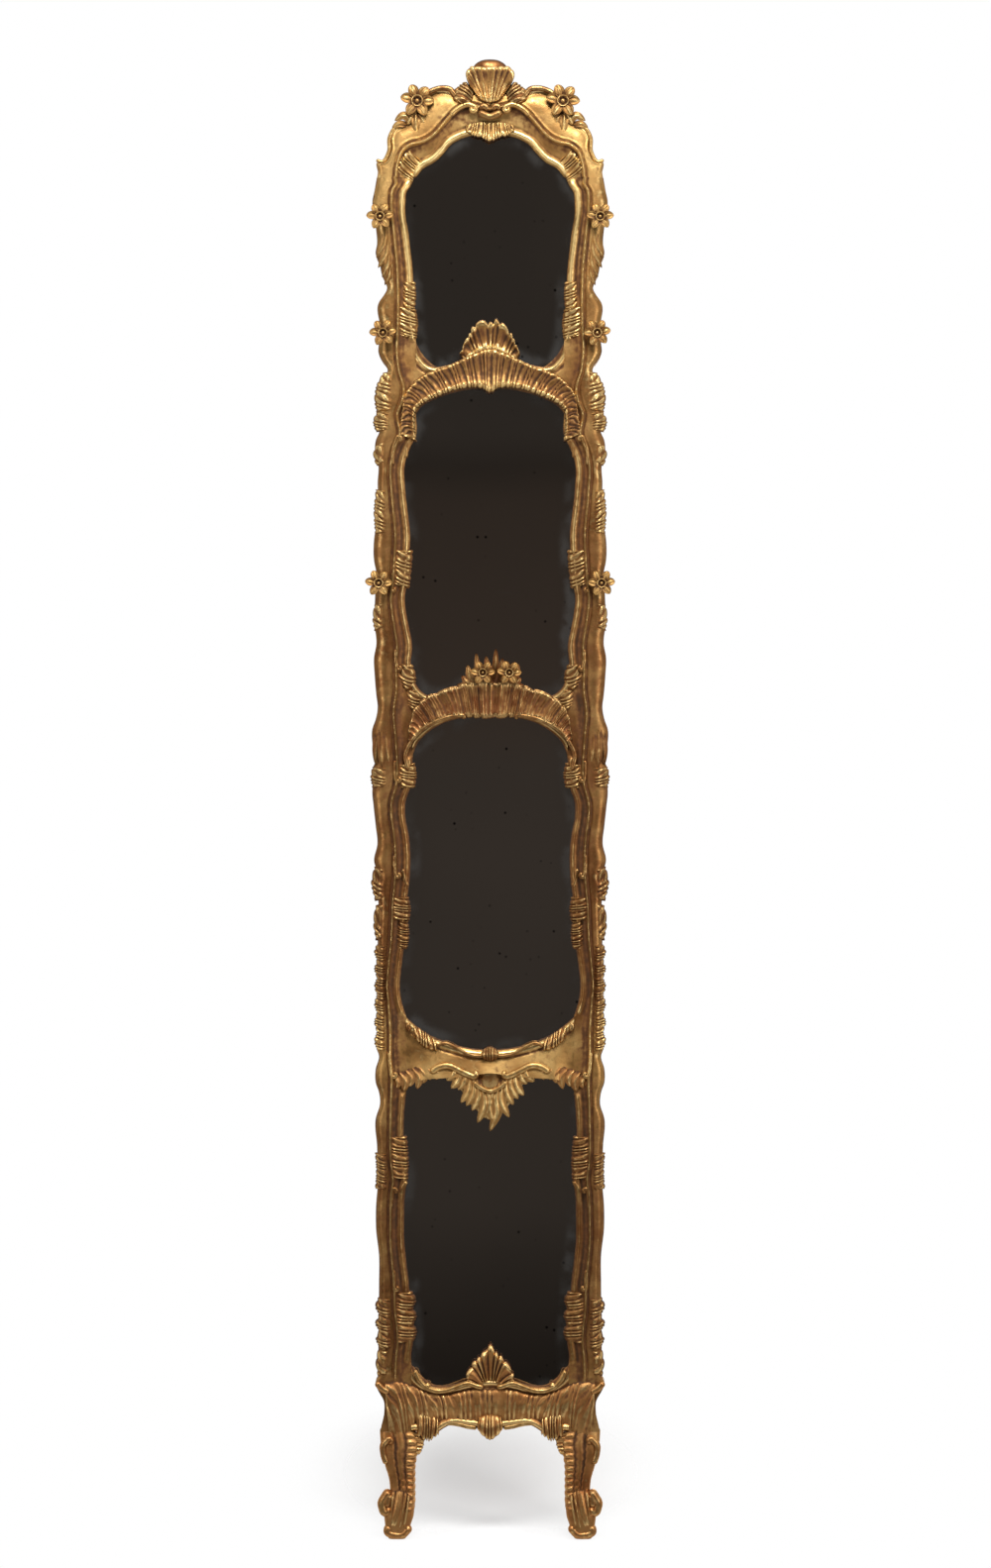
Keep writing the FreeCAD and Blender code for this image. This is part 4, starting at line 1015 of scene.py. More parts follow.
# %% Rib stacks on the stiles
stack_crown = ((0, 0.8), (0.5, 3.6), (1, 1.6))
border_crown = ((0, 1.0), (0.5, 4.0), (1, 3.0))
stack_swell = 3.8
stack_flow = 1.8
high_brown = -0.05
low_brown = 0.1
stacks = (
    ("bay_1_upper_ribs", "bay_1", ((115, 92), (114, 70), (116, 50)), ((133, 94), (135, 70), (134, 50)), 7,
     0.8),
    ("bay_1_lower_ribs", "bay_1", ((114, 51), (111, 30), (113, 6)), ((140, 56), (143, 30), (138, 8)), 8,
     0.8),
    ("rail_1_border", "rail_1", ((147, 64), (144, 30), (146, 2)),
     ((160, 62), (170, 42), (173, 20), (170, 2)), 8, 0.8),
    ("rail_1_border_foot", "rail_1", ((149, 0), (150, -26)), ((169, 2), (175, -11), (171, -28)), 5, 0.6),
    ("bay_2_top_leaf", "bay_2", ((158, 356), (157, 320)), ((171, 350), (175, 335), (170, 318)), 3, 0.6),
    ("bay_2_border", "bay_2", ((155, 280), (155, 214)), ((171, 282), (174, 248), (172, 214)), 9, 0.8),
    ("bay_2_neck_ribs", "bay_2", ((119, 190), (121, 160), (124, 132)),
     ((147, 192), (149, 160), (148, 136)), 8, 0.8),
    ("bay_2_foot_leaf", "bay_2", ((160, 112), (160, 70)), ((173, 108), (176, 90), (173, 68)), 4, 0.8),
    ("rail_2_swirl", "rail_2", ((119, 137), (114, 118), (117, 99)), ((138, 140), (142, 117), (132, 96)),
     5, 1.2),
    ("rail_2_swirl_foot", "rail_2", ((111, 100), (105, 85), (107, 68)), ((130, 98), (129, 83), (125, 68)),
     5, 1.2),
    ("rail_2_outer_ribs", "rail_2", ((153, -19), (153, -48)), ((176, -18), (179, -32), (176, -50)), 5,
     0.8),
    ("rail_2_inner_ribs", "rail_2", ((116, -12), (113, -31), (116, -50)),
     ((140, -14), (142, -33), (140, -52)), 7, 1.0),
    ("bay_3_outer_leaf", "bay_3", ((158, 226), (158, 178)), ((173, 228), (178, 205), (172, 176)), 5, 0.8),
    ("bay_3_neck_ribs", "bay_3", ((125, 182), (122, 163), (124, 146)),
     ((151, 183), (154, 163), (151, 146)), 7, 0.7),
    ("bay_3_sight_ribs", "bay_3", ((126, 146), (124, 125), (127, 103)),
     ((141, 146), (143, 125), (142, 103)), 9, 0.6),
    ("bay_3_leaf_foot", "bay_3", ((160, 174), (162, 116)), ((171, 170), (175, 148), (171, 116)), 4, 0.8),
    ("bay_3_border", "bay_3", ((155, 110), (155, 30), (156, -50)),
     ((170, 110), (173.5, 99), (170, 86), (173.5, 73), (170, 60), (173.5, 47), (170, 34), (173.5, 20),
      (170, 6), (173.5, -8), (170, -22), (173.5, -36), (169, -50)), 30, 0.4),
    ("bay_4_neck_ribs", "bay_4", ((128, 347), (125, 312), (126, 281)),
     ((153, 348), (155, 312), (152, 282)), 11, 0.6),
    ("bay_4_border", "bay_4", ((152, 322), (152, 267)), ((172, 322), (170.5, 294), (172, 267)), 10, 0.6),
    ("bay_4_sight_ribs", "bay_4",
     ((120, 112), (114, 97), (118, 87), (113, 75), (117, 63), (113, 52), (118, 34)),
     ((145, 112), (147, 72), (146, 34)), 13, 0.6),
    ("bay_4_outer_ribs", "bay_4", ((146, 103), (146, 65), (146, 26)),
     ((167, 103), (172, 89), (167, 76), (172, 63), (167, 52), (171, 40), (165, 26)), 12, 0.6),
    ("bay_4_foot_scallops", "bay_4", ((152, 26), (152, -16)), ((167, 26), (171, 5), (168, -16)), 3, 0.4),
)
for name, zone, low, high, ribs, flow in stacks:
    outer = "outer" in name or "border" in name or "leaf" in name or "scallops" in name
    brown = high_brown if foot[zone] >= foot["rail_2"] else low_brown
    crown = border_crown if outer else stack_crown
    ribbed_pair(name, zone, low, high, ribs, crown, stack_swell, flow=stack_flow * flow,
                scallop=(0.6, 2.4) if outer else (2.4, 0.6), strand=0.15, dust=((0, brown), (1, brown)),
                fade=(0.5, 0.14) if outer else (0.14, 0.45))
print("rib stacks", 2 * len(stacks))

# %% [markdown]
# A few stacks stand on the crest, the third rail and the apron, where the ground is a rail's.

# %% Rib stacks on the rails
rail_stacks = (
    ("crest_shoulder_ribs", "crest", ((101, 25), (111, 11), (119, -6)), ((122, 42), (136, 27), (143, 6)),
     8, ((0, 5), (0.5, 6.5), (1, 12)), glass_depth + 2, 1.0, gold_frame),
    ("rail_3_corner_ribs", "rail_3", ((116, 84), (105, 72), (92, 64), (79, 62)),
     ((117, 99), (105, 93), (92, 84), (80, 76)), 7, ((0, 7), (0.5, 11), (1, 5)), plate_seat, 0.8,
     gold_low),
    ("apron_corner_ribs", "apron", ((113, 30), (94, 26), (77, 20)), ((110, -6), (93, -13), (77, -2)), 7,
     ((0, 3), (0.5, 8), (1, 7)), plate_seat + 3, 0.8, gold_low),
)
for name, zone, low, high, ribs, crown, seat, flow, finish in rail_stacks:
    ribbed_pair(name, zone, low, high, ribs, crown, 4.0, seat=seat, flow=flow, scallop=(1.4, 2.0),
                finish=finish, strand=0.2, ragged=0.08)
print("rail stacks", 2 * len(rail_stacks))

# %% [markdown]
# Loose leaves lie by the crest's flowers, below the upper flowers and on the stiles at the second rail.
# A leaf is one blade about a bent middle line, so three points and three numbers say all of it.

# %% Loose leaves
leaf("crest_flower_leaf", "crest", (
    (((112, 98), (112, 84), (111, 66)), 13, fan_seat + 2, 4),
    (((114, 96), (121, 88), (125, 79)), 11, fan_seat + 1, 4),
    (((109, 96), (102, 88), (98, 79)), 11, fan_seat + 1, 4),
    (((118, 84), (130, 93), (144, 86)), 13, plate_seat + 5, 4),
    (((126, 80), (137, 81), (148, 76)), 10, plate_seat + 4, 4)), gold_bright, both=True)
leaf("bay_1_side_leaf", "bay_1", (
    (((157, 172), (159, 150), (172, 128)), 12, fan_seat + 3, 3),
    (((154, 158), (156, 136), (169, 112)), 12, fan_seat + 4, 3),
    (((152, 140), (154, 118), (163, 98)), 12, fan_seat + 4, 3),
    (((151, 118), (152, 102), (159, 86)), 10, fan_seat + 4, 3)), gold_frame, both=True)
leaf("rail_2_side_leaf", "rail_2", (
    (((157, 34), (156, 10), (152, -16)), 12, fan_seat + 3, 4),
    (((170, 32), (172, 8), (173, -15)), 12, fan_seat + 1, 4),
    (((164, 38), (164, 8), (163, -22)), 13, fan_seat + 4, 4)), gold_frame, both=True)
print("side leaves 3")

# %% [markdown]
# Scrolls and mouldings are round strips that follow a line and curl up at an end. A curl is a line
# whose bend grows steadily tighter. A circle carried along the line, smaller at the ends, is the bead.

# %% Beads and scrolls
bead_sides = 14


def curl(path, size, turns, side, count=40):
    """A path with a volute at its end: its heading turns by equal steps while its radius shrinks."""
    heading = math.atan2(*(path[-1] - path[-2])[::-1])
    share = np.linspace(0, 1, count)
    turn = heading + side * 2 * np.pi * turns * share
    step = size * (1 - 0.72 * share) * 2 * np.pi * turns / count
    steps = np.stack([np.cos(turn), np.sin(turn)], -1) * step[:, None]
    return np.concatenate((path, path[-1] + np.cumsum(steps, 0)))


def bead(name, path, depth, radius, finish, flat=1.0):
    """Round strip along a path of the plan at a depth, with rounded ends.

    The circle at each point lies across the path. Near an end its radius follows a quarter circle.
    """
    along = np.concatenate(([0.0], np.cumsum(np.linalg.norm(np.diff(path, axis=0), axis=1))))
    to_end = np.minimum(along, along[-1] - along)
    near = np.clip(to_end / radius, 0.02, 1)
    size = radius * np.sqrt(1 - (1 - near) ** 2)[:, None]
    tangent = np.gradient(path, along, axis=0)
    tangent /= np.linalg.norm(tangent, axis=1)[:, None]
    turn = np.linspace(0, 2 * np.pi, bead_sides, endpoint=False)[None, :]
    x = path[:, :1] - tangent[:, 1:] * size * np.cos(turn)
    z = path[:, 1:] + tangent[:, :1] * size * np.cos(turn)
    level = np.broadcast_to(depth, along.shape)[:, None] + flat * size * np.sin(turn)
    hollow = np.broadcast_to(0.54 - 0.22 * np.sin(turn), x.shape)
    return add_piece(name, [(np.stack([x, back_plane - level, z], -1), hollow, False)], (finish,))


def bead_pair(name, zone, points, depth, radius, finish, curl_size=0.0, turns=1.0, way=1, flat=1.0):
    """A bead and its mirror image, with a curl at the last point where it has a size."""
    for side, word in ((1, "right"), (-1, "left")):
        path = line(placed(zone, points) * [side, 1], 90)
        if curl_size:
            path = curl(path, curl_size, turns, way * side)
        bead(f"{name}_{word}", path, depth, radius, finish, flat)


mould_depth = glass_depth + 12.0
scroll_radius = 3.4
scroll_turns = 0.9
beads = (
    ("crest_scroll_end", "crest", ((60, 93), (51, 101.5), (42, 107), (33, 109.5), (25, 107)),
     mould_depth + 4, 4.2, gold_frame, 4.6, 1.0, 1),
    ("crest_rim", "crest", ((102, 122), (88, 131), (73, 135), (60, 133), (54, 126)), mould_depth, 4.2,
     gold_aged_and_shade, 5.4, 1.0, -1),
    ("crest_ear_rim", "crest", ((172, 27), (164, 24), (153, 40), (152, 61), (146, 73), (128, 82)),
     mould_depth - 4, 3.0, gold_frame, 0, 0, 1),
    ("crest_lip_lobe", "crest", ((17, 103), (9, 107), (2, 101)), mould_depth + 4, 5.0, gold_aged_and_shade, 0, 0,
     1),
    ("rail_2_bead", "rail_2", ((124, -22), (128, 0), (122, 15), (107, 35), (83, 50), (59, 58), (42, 60)),
     glass_depth + 12.5, 3.4, gold_frame, 2.4, 0.7, 1),
    ("rail_3_top_bead", "rail_3",
     ((80, 68), (76, 71), (67, 73), (57, 69.5), (44, 62), (33, 56.5), (22, 54), (10, 54)),
     mould_depth + 1, 2.6, gold_aged_and_shade, 0, 0, 1),
    ("rail_3_knob_end", "rail_3", ((120, 92), (124, 98), (122, 104)), mould_depth, 4.0, gold_aged_and_shade, 0, 0,
     1),
    ("rail_3_scroll", "rail_3",
     ((90, 29), (78, 37), (67, 39.5), (58, 38), (49, 33.5), (38, 28), (27, 23.5)), mould_depth + 2, 5.4,
     gold_frame, 4.4, 0.7, -1),
    ("apron_moulding", "apron",
     ((114, 94), (107, 79), (96, 68), (83, 63), (64, 64), (50, 69), (32, 74), (20, 70), (10, 68)),
     mould_depth + 2, 4.0, gold_bright, 0, 0, 1),
    ("apron_knob", "apron", ((94, 66), (95, 75)), mould_depth + 2, 5.0, gold_bright, 0, 0, 1),
    ("apron_foot_bead", "apron", ((74, 12), (60, 13), (46, 11), (34, 8), (20, 6)), mould_depth - 4, 3.6,
     gold_bright, 0, 0, 1),
    ("apron_spur", "apron", ((152, 60), (163, 66), (172, 76)), glass_depth + 12, 5.0, gold_low, 0, 0, 1),
)
stile_scrolls = (
    ("bay_2_top_scroll", "bay_2", ((148, 318), (146, 342), (141, 358)), 15, 4.0, 1),
    ("bay_2_lip_curl", "bay_2", ((128, 330), (126, 348), (119, 359)), 8, 0, 1),
    ("bay_2_neck_scroll", "bay_2", ((146, 156), (148, 142), (149, 131)), 15, 3.4, -1),
    ("bay_2_foot_scroll", "bay_2", ((142, 40), (142, 24), (141, 12)), 15, 3.6, -1),
    ("rail_2_foot_scroll", "rail_2", ((143, -8), (143, -24), (142, -36)), 15, 3.8, -1),
    ("bay_3_lip_curl", "bay_3", ((132, 225), (129, 208), (125, 197)), 8, 0, 1),
    ("bay_3_neck_scroll", "bay_3", ((144, 246), (144, 230), (143, 216)), 15, 4.0, -1),
    ("rail_3_side_scroll", "rail_3", ((152, 60), (151, 42), (149, 26)), 15, 4.2, -1),
    ("bay_4_lip_curl", "bay_4", ((135, 258), (132, 270), (126, 279)), 8, 0, 1),
    ("bay_4_top_scroll", "bay_4", ((150, 240), (149, 254), (148, 265)), 15, 3.8, 1),
    ("bay_4_foot_scroll", "bay_4", ((146, 146), (145, 132), (145, 119)), 15, 3.6, -1),
)
for name, zone, points, depth, radius, finish, size, turns, way in beads:
    bead_pair(name, zone, points, depth, radius, finish, size, turns, way)
for name, zone, points, lift, size, way in stile_scrolls:
    bead_pair(name, zone, points, glass_depth + lift, scroll_radius, gold_frame, size, scroll_turns, way)
bead("crest_lip", line(whole(placed("crest", ((18, 98), (9, 94), (0, 91)))), 60), mould_depth + 4, 5.6,
    gold_aged_and_shade)
bead("rail_3_cup", line(whole(placed("rail_3", ((25, 15), (14, 6), (0, 1)))), 80), mould_depth + 5, 3.4,
    gold_bright)
print("beads", 2 * len(beads) + 2 * len(stile_scrolls) + 2)

# %% [markdown]
# Ten small flowers stand on pegs in front of the frame. Each has six petals like spoons, with raised
# rims and a rib down the middle, round a cup with a small boss in it. A petal is a strip whose width
# swells and closes along its length. The cup is a turned profile, which goes on behind as the peg.

# %% Flowers
petals = 6
petal_rows = 18
petal_reach = 1.12
flower_depth = 12.0
cup_profile = ((0.02, 5.2), (0.08, 5.0), (0.14, 3.6), (0.2, 3.2), (0.25, 5.0), (0.29, 8.0), (0.33, 8.4),
               (0.36, 7.2), (0.38, 4.0), (0.36, 0.0), (0.26, -4.0), (0.22, -16.0), (0.02, -16.0))
cup_hollow = (0.3, 0.5, 0.9, 1.0, 0.9, 0.35, 0.2, 0.45, 0.85, 0.9, 0.8, 0.8, 0.8)


def petal(size, tilt):
    """One petal that points up, as loops of x, z and height, and its hollow numbers.

    Its half width is a power of the sine of the share along it. Its front is a spoon: it rises with the
    cube of the place across, and has a rib in the middle. The back follows it, a little lower.
    """
    u = np.linspace(0, 1, petal_rows)[:, None]
    w = blade_turn[None, :]
    wide = size * 0.31 * (np.sin(np.pi * (0.2 + 0.8 * u) ** 1.25) ** 0.6 + 0.02)
    x = wide * w
    z = size * (0.2 + 0.82 * u) + 0 * w
    spoon = 3.2 * np.abs(w) ** 3 * np.sin(np.pi * np.clip(u, 0, 1)) ** 0.5 + 1.7 * np.exp(-(w / 0.2) ** 2)
    arch = 2.5 + 4.0 * np.sin(np.pi * (0.12 + 0.72 * u)) + tilt * u
    height = np.where(on_front, arch + spoon, arch - 2.4 * (1 - 0.7 * w ** 2))
    groove = np.exp(-((np.abs(w) - 0.5) / 0.25) ** 2)
    # The petals' edges are drawn dark as painted shade, for the gaps between them; the grooves and the base
    # are browner as well.
    dirt_and_edge_shade = 0.16 + 0.36 * groove + 0.5 * w ** 10 + 0.5 * (1 - u) ** 2
    hollow = np.where(on_front, np.clip(dirt_and_edge_shade, 0, 1), 0.9)
    return x, z, height, hollow


def flower(node, turn, finish):
    """Flower in the place of a CAD node, from its box: centre, radius and front."""
    low, high = node_box(node)
    middle = (low + high) / 2
    size = petal_reach * (high[0] - low[0]) / 2
    base = back_plane - low[1] - flower_depth
    skins = []
    for index in range(petals):
        angle = turn + 2 * np.pi * (index + 0.12 * math.sin(5.0 * index + turn)) / petals
        x, z, height, hollow = petal(size, 1.5 * math.sin(3.0 * index + turn))
        across_flower = middle[0] + x * math.cos(angle) + z * math.sin(angle)
        up_flower = middle[2] - x * math.sin(angle) + z * math.cos(angle)
        skins.append((np.stack([across_flower, back_plane - base - height, up_flower], -1), hollow, False))
    radius, level = np.array(cup_profile).T
    spin = np.linspace(0, 2 * np.pi, 32, endpoint=False)[:, None]
    cup = np.stack([middle[0] + size * radius * np.sin(spin), back_plane - base - level + 0 * spin,
                    middle[2] + size * radius * np.cos(spin)], -1)
    skins.append((cup, np.array(cup_hollow), True))
    add_piece("carved_" + node, skins, (finish,), stands_for=(node,))


flower_nodes = [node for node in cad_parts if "_flower_" in node]
for index, node in enumerate(sorted(flower_nodes)):
    flower(node, math.pi / petals + 0.1 * math.sin(7.0 * index), gold_bright)
print("flowers", len(flower_nodes))

# %% [markdown]
# Each leg is a bowed post that narrows to an ankle and rolls out into a scroll at the toe. Round it,
# the section is a rounded rectangle whose four sides follow tables of the height. Its front has a
# smooth outer band, a groove, a bead and a strip of short ribs that scallop the inner edge. Its back is
# bare wood.

# %% Legs
leg_rows = 220
leg_columns = 120
leg_rib = 10.0
leg_table = (
    (0.0, 127, 154, 2, 48), (0.05, 123, 157, 1, 53), (0.14, 119, 159, 1.5, 55), (0.21, 115.5, 160, 2, 55),
    (0.29, 115, 158, 3, 53), (0.36, 115, 153, 4, 49), (0.45, 115, 151.5, 5, 46), (0.55, 115, 153, 4.5, 45),
    (0.68, 114.5, 159, 3.5, 46), (0.8, 111, 164, 2, 46), (0.9, 107, 166, 1, 44), (1.0, 112, 167, 0, 40),
)


def leg_loops():
    """Loops of the right-hand leg, with the mouldings up its front."""
    share, inner, outer, back, front = np.array(leg_table).T
    level = np.linspace(0, 1, leg_rows)
    inner, outer, back, front = (cubic(level, share, side)[:, None] for side in (inner, outer, back, front))
    level = level[:, None]
    z = level * foot["apron"]
    shaft = ramp(level, 0.24, 0.32)
    wave = np.abs(np.sin(np.pi * z / leg_rib))
    inner = inner - 2.2 * wave * shaft * ramp(level, 0.92, 0.8)
    turn = np.linspace(0, 2 * np.pi, leg_columns, endpoint=False)[None, :]
    wide = np.sign(np.cos(turn)) * np.abs(np.cos(turn)) ** 0.5
    deep = np.sign(np.sin(turn)) * np.abs(np.sin(turn)) ** 0.5
    x = (inner + outer) / 2 + (outer - inner) / 2 * wide
    depth = (back + front) / 2 + (front - back) / 2 * deep
    facing = ramp(deep, 0.2, 0.8)
    over = (x - inner) / (outer - inner)
    groove = -4.0 * np.exp(-((over - 0.58) / 0.06) ** 2) + 2.0 * np.exp(-((over - 0.46) / 0.06) ** 2)
    groove = groove - 2.5 * np.exp(-((over - 0.35) / 0.05) ** 2)
    ribs = 2.2 * (wave - 0.5) * ramp(over, 0.36, 0.24)
    change = facing * (groove + ribs) * shaft
    hollow = np.clip(0.5 - change / 6.0, 0, 1)
    return np.stack([x, back_plane - depth - change, np.broadcast_to(z, x.shape)], -1), hollow


loops, hollow = leg_loops()
raw = np.sin(np.linspace(0, 2 * np.pi, leg_columns, endpoint=False)) < -0.5
for side, name in ((1, "right_leg"), (-1, "left_leg")):
    add_piece("carved_" + name, [(loops * [side, 1, 1], hollow, False)], (gold_low, pine_upright), raw,
              stands_for=(name,))
leg_front = glass_depth + 16.0
bead_pair("toe_scroll", "leg", ((151, 74), (158, 64), (163, 54), (161, 44)), leg_front + 1, 7.0, gold_low,
    4.6, 0.9, -1, 1.4)
bead_pair("toe_web", "leg", ((151, 71), (154, 60), (156, 46)), leg_front - 2, 8.0, gold_low, 0, 0, 1, 1.5)
bead_pair("toe_roll", "leg", ((152, 22), (154, 11), (144, 7), (131, 8), (125, 14)), leg_front + 3, 6.5,
    gold_low, 3.0, 0.6, -1, 1.3)
bead_pair("knee_scroll", "leg", ((156, 112), (161, 128), (161, 142), (155, 149)), leg_front - 3, 5.0,
    gold_low, 3.6, 0.9, 1, 1.3)
ribbed_pair("knee_ear", "leg", ((120, 160), (117, 143), (119, 124)), ((105, 158), (101, 144), (107, 125)),
    5, ((0, 5), (0.5, 7), (1, 5)), 3.0, seat=glass_depth + 4, finish=gold_low)
ribbed_pair("toe_leaf", "leg", ((149, 72), (134, 74), (119, 66)), ((154, 26), (140, 16), (124, 24)), 4,
    ((0, 1), (0.5, 6), (1, 6)), 4.0, seat=leg_front + 4, finish=gold_low, strands=3, flow=0.5)
print("legs done")

# %% [markdown]
# The plates are old blown glass with a tin backing: a dark, slightly wavy mirror. Damp has crept in
# from the edges, where the silvering is a grey-blue haze with black specks. Each point of a plate
# knows how far it is from the carved edge, and the haze follows that number.

# %% Aged mirror
silver = (0.62, 0.59, 0.55, 1)
haze_blue = (0.17, 0.18, 0.185, 1)
speck_black = (0.02, 0.018, 0.016, 1)


def aged_mirror(name):
    """Dark mirror with a hazy edge, worn specks and fine scratches."""
    finish, tree, shader = new_finish(name)
    place = put(tree, "TexCoord").outputs["Object"]
    edge = put(tree, "Attribute", attribute_name="hollow").outputs["Fac"]
    drift = cloud(tree, place, 28.0, 5.0)
    patch = cloud(tree, place, 6.0, 2.0)
    haze = number(tree, "MULTIPLY", eased(tree, edge, 0.1, 1.0), eased(tree, drift, 0.34, 0.62, 0.1, 1.0))
    haze = number(tree, "MULTIPLY", haze, eased(tree, patch, 0.42, 0.62, 0.15, 0.75))
    spots = put(tree, "TexVoronoi", {"Vector": place, "Scale": 55.0, "Randomness": 1.0})
    speck = number(tree, "MULTIPLY", eased(tree, spots.outputs["Distance"], 0.16, 0.05),
                   eased(tree, drift, 0.5, 0.62))
    streak_place = put(tree, "Mapping", {"Vector": place, "Scale": (3.0, 1.0, 90.0),
                                         "Rotation": (0.0, 0.35, 0.0)}).outputs[0]
    streak = eased(tree, cloud(tree, streak_place, 3.0, 2.0), 0.66, 0.76, 0.0, 0.14)
    veil = put(tree, "Math", {0: haze, 1: streak}, operation="MAXIMUM").outputs[0]
    colour = colour_mix(tree, veil, silver, haze_blue)
    colour = colour_mix(tree, speck, colour, speck_black)
    tree.links.new(colour, shader.inputs["Base Color"])
    tree.links.new(eased(tree, veil, 0.0, 1.0, 1.0, 0.88), shader.inputs["Metallic"])
    shader.inputs["Roughness"].default_value = 0.045
    shader.inputs["Specular IOR Level"].default_value = 0.2
    return finish


mirror_finish = aged_mirror("aged_mirror")

# %% [markdown]
# A plate has straight edges and is larger than the opening that shows it. Only the top one is arched.
# Its face is a grid with a slight wave, as old glass has, so that reflections in it aren't quite true.

# %% Mirror plates
plate_rows = 90
plate_columns = 60
outline_points = 160
haze_reach = 28.0
plate_wave = 0.05


def plate_edges(index):
    """Lower and upper edge of a plate, which are straight but for the arch of the top one."""
    low, high = node_box(f"mirror_plate_{index}")
    x = np.linspace(low[0], high[0], plate_rows)
    bottom = np.stack([x, np.full_like(x, low[2])], -1)
    top = np.full_like(x, high[2])
    if index == 1:
        arch = high[2] - foot["crest"]
        radius = (high[0] ** 2 + arch ** 2) / (2 * arch)
        top = high[2] - radius + np.sqrt(radius ** 2 - x ** 2)
    return bottom, np.stack([x, top], -1)


def sight_outline(above, below):
    """Carved edges that show round a plate: both stiles, and the rails above and below it."""
    z = np.linspace(foot[zones[zones.index(above) + 1]], foot[below], outline_points)
    stile = np.stack([cubic(z, *sight_line), z], -1)
    lower = rail_edge(above, 1, outline_points)
    if below == "crest":
        upper = line(whole(placed("crest", crest_low[3:])), outline_points)
    else:
        upper = rail_edge(below, 0, outline_points)
    return np.concatenate((lower, stile, upper[::-1], (stile * [-1, 1])[::-1], lower[:1]))


bays = (("rail_1", "crest"), ("rail_2", "rail_1"), ("rail_3", "rail_2"), ("apron", "rail_3"))
for index, (above, below) in enumerate(bays, start=1):
    bottom, top = plate_edges(index)
    plan = across(bottom, top, plate_columns)
    near = distance_to(plan.reshape(-1, 2), sight_outline(above, below)).reshape(plan.shape[:2])
    wave = plate_wave * np.sin(plan[..., 0] / 31.0 + index) * np.sin(plan[..., 1] / 47.0)
    low, high = node_box(f"mirror_plate_{index}")
    front = np.full(plan.shape[:2], back_plane - low[1]) + np.minimum(wave, 0.0)
    x = np.concatenate((plan[..., 0], top[:, :1], bottom[:, :1]), 1)
    z = np.concatenate((plan[..., 1], top[:, 1:], bottom[:, 1:]), 1)
    depth = np.concatenate((front, np.full((plate_rows, 2), back_plane - high[1])), 1)
    haze = np.concatenate((np.clip(1 - near / haze_reach, 0, 1), np.ones((plate_rows, 2))), 1)
    loops = np.stack([x, back_plane - depth, z], -1)
    add_piece(f"glass_{index}", [(loops, haze, False)], (mirror_finish,),
              stands_for=(f"mirror_plate_{index}",))
print("plates", len(bays))

# %% [markdown]
# The boards, pegs, brads and hanging rings behind the frame keep their CAD shapes. The boards get the
# pine, and the iron is dark and a little rusty.

# %% Iron and boards
iron_dark = (0.035, 0.032, 0.03, 1)
iron_rust = (0.14, 0.06, 0.028, 1)


def forged_iron(name):
    """Dark hammered iron with rust in blotches."""
    finish, tree, shader = new_finish(name)
    place = put(tree, "TexCoord").outputs["Object"]
    blotch = cloud(tree, place, 90.0, 5.0)
    rust = eased(tree, blotch, 0.5, 0.68)
    tree.links.new(colour_mix(tree, rust, iron_dark, iron_rust), shader.inputs["Base Color"])
    tree.links.new(eased(tree, rust, 0.0, 1.0, 0.85, 0.1), shader.inputs["Metallic"])
    tree.links.new(eased(tree, rust, 0.0, 1.0, 0.45, 0.85), shader.inputs["Roughness"])
    bump = put(tree, "Bump", {"Strength": 0.4, "Distance": 0.0006, "Height": blotch})
    tree.links.new(bump.outputs[0], shader.inputs["Normal"])
    return finish


iron_finish = forged_iron("forged_iron")
cad_finishes = {"tenon_pegs": pine_upright, "backboard_brads": iron_finish, "hanger_straps": iron_finish,
                "hanger_screws": iron_finish, "left_hanger_ring": iron_finish,
                "right_hanger_ring": iron_finish}
for index in range(1, 5):
    cad_finishes[f"backboard_{index}"] = pine_upright
for node, finish in cad_finishes.items():
    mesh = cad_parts[node].data
    mesh.materials.clear()
    mesh.materials.append(finish)
print("CAD nodes with finishes", len(cad_finishes))

# %% [markdown]
# The studio is pale: a round floor that fades into a white world. A mirror shows whatever is in front
# of it, so a dark room stands before it, glowing faintly, which shows in reflections only.

# %% Floor and dark room
floor_radius = 1.5
floor_sides = 96
shadow_behind = 0.54
room_radius = 6.5
room_height = 8.0
room_half_angle = math.radians(100)
room_columns = 41


def stage_mesh(name, points, faces, finish):
    """Mesh object that belongs to the studio and not to the mirror."""
    mesh = bpy.data.meshes.new(name)
    mesh.from_pydata(points, [], faces)
    mesh.materials.append(finish)
    piece = bpy.data.objects.new(name, mesh)
    bpy.context.scene.collection.objects.link(piece)
    return piece


def floor_finish():
    """Pale floor that turns clear with the distance from the middle of the shadow."""
    finish, tree, shader = new_finish("pale_floor")
    shader.inputs["Base Color"].default_value = (0.9, 0.89, 0.885, 1)
    shader.inputs["Roughness"].default_value = 0.9
    place = put(tree, "TexCoord").outputs["Object"]
    stretch = {"Vector": place, "Location": (0.0, -shadow_behind, 0.0), "Scale": (2.2, 1.0, 1.0)}
    behind = put(tree, "Mapping", stretch)
    away = put(tree, "VectorMath", {0: behind.outputs[0]}, operation="LENGTH").outputs["Value"]
    tree.links.new(eased(tree, away, 0.1, 0.77, 0.95, 0.0), shader.inputs["Alpha"])
    return finish


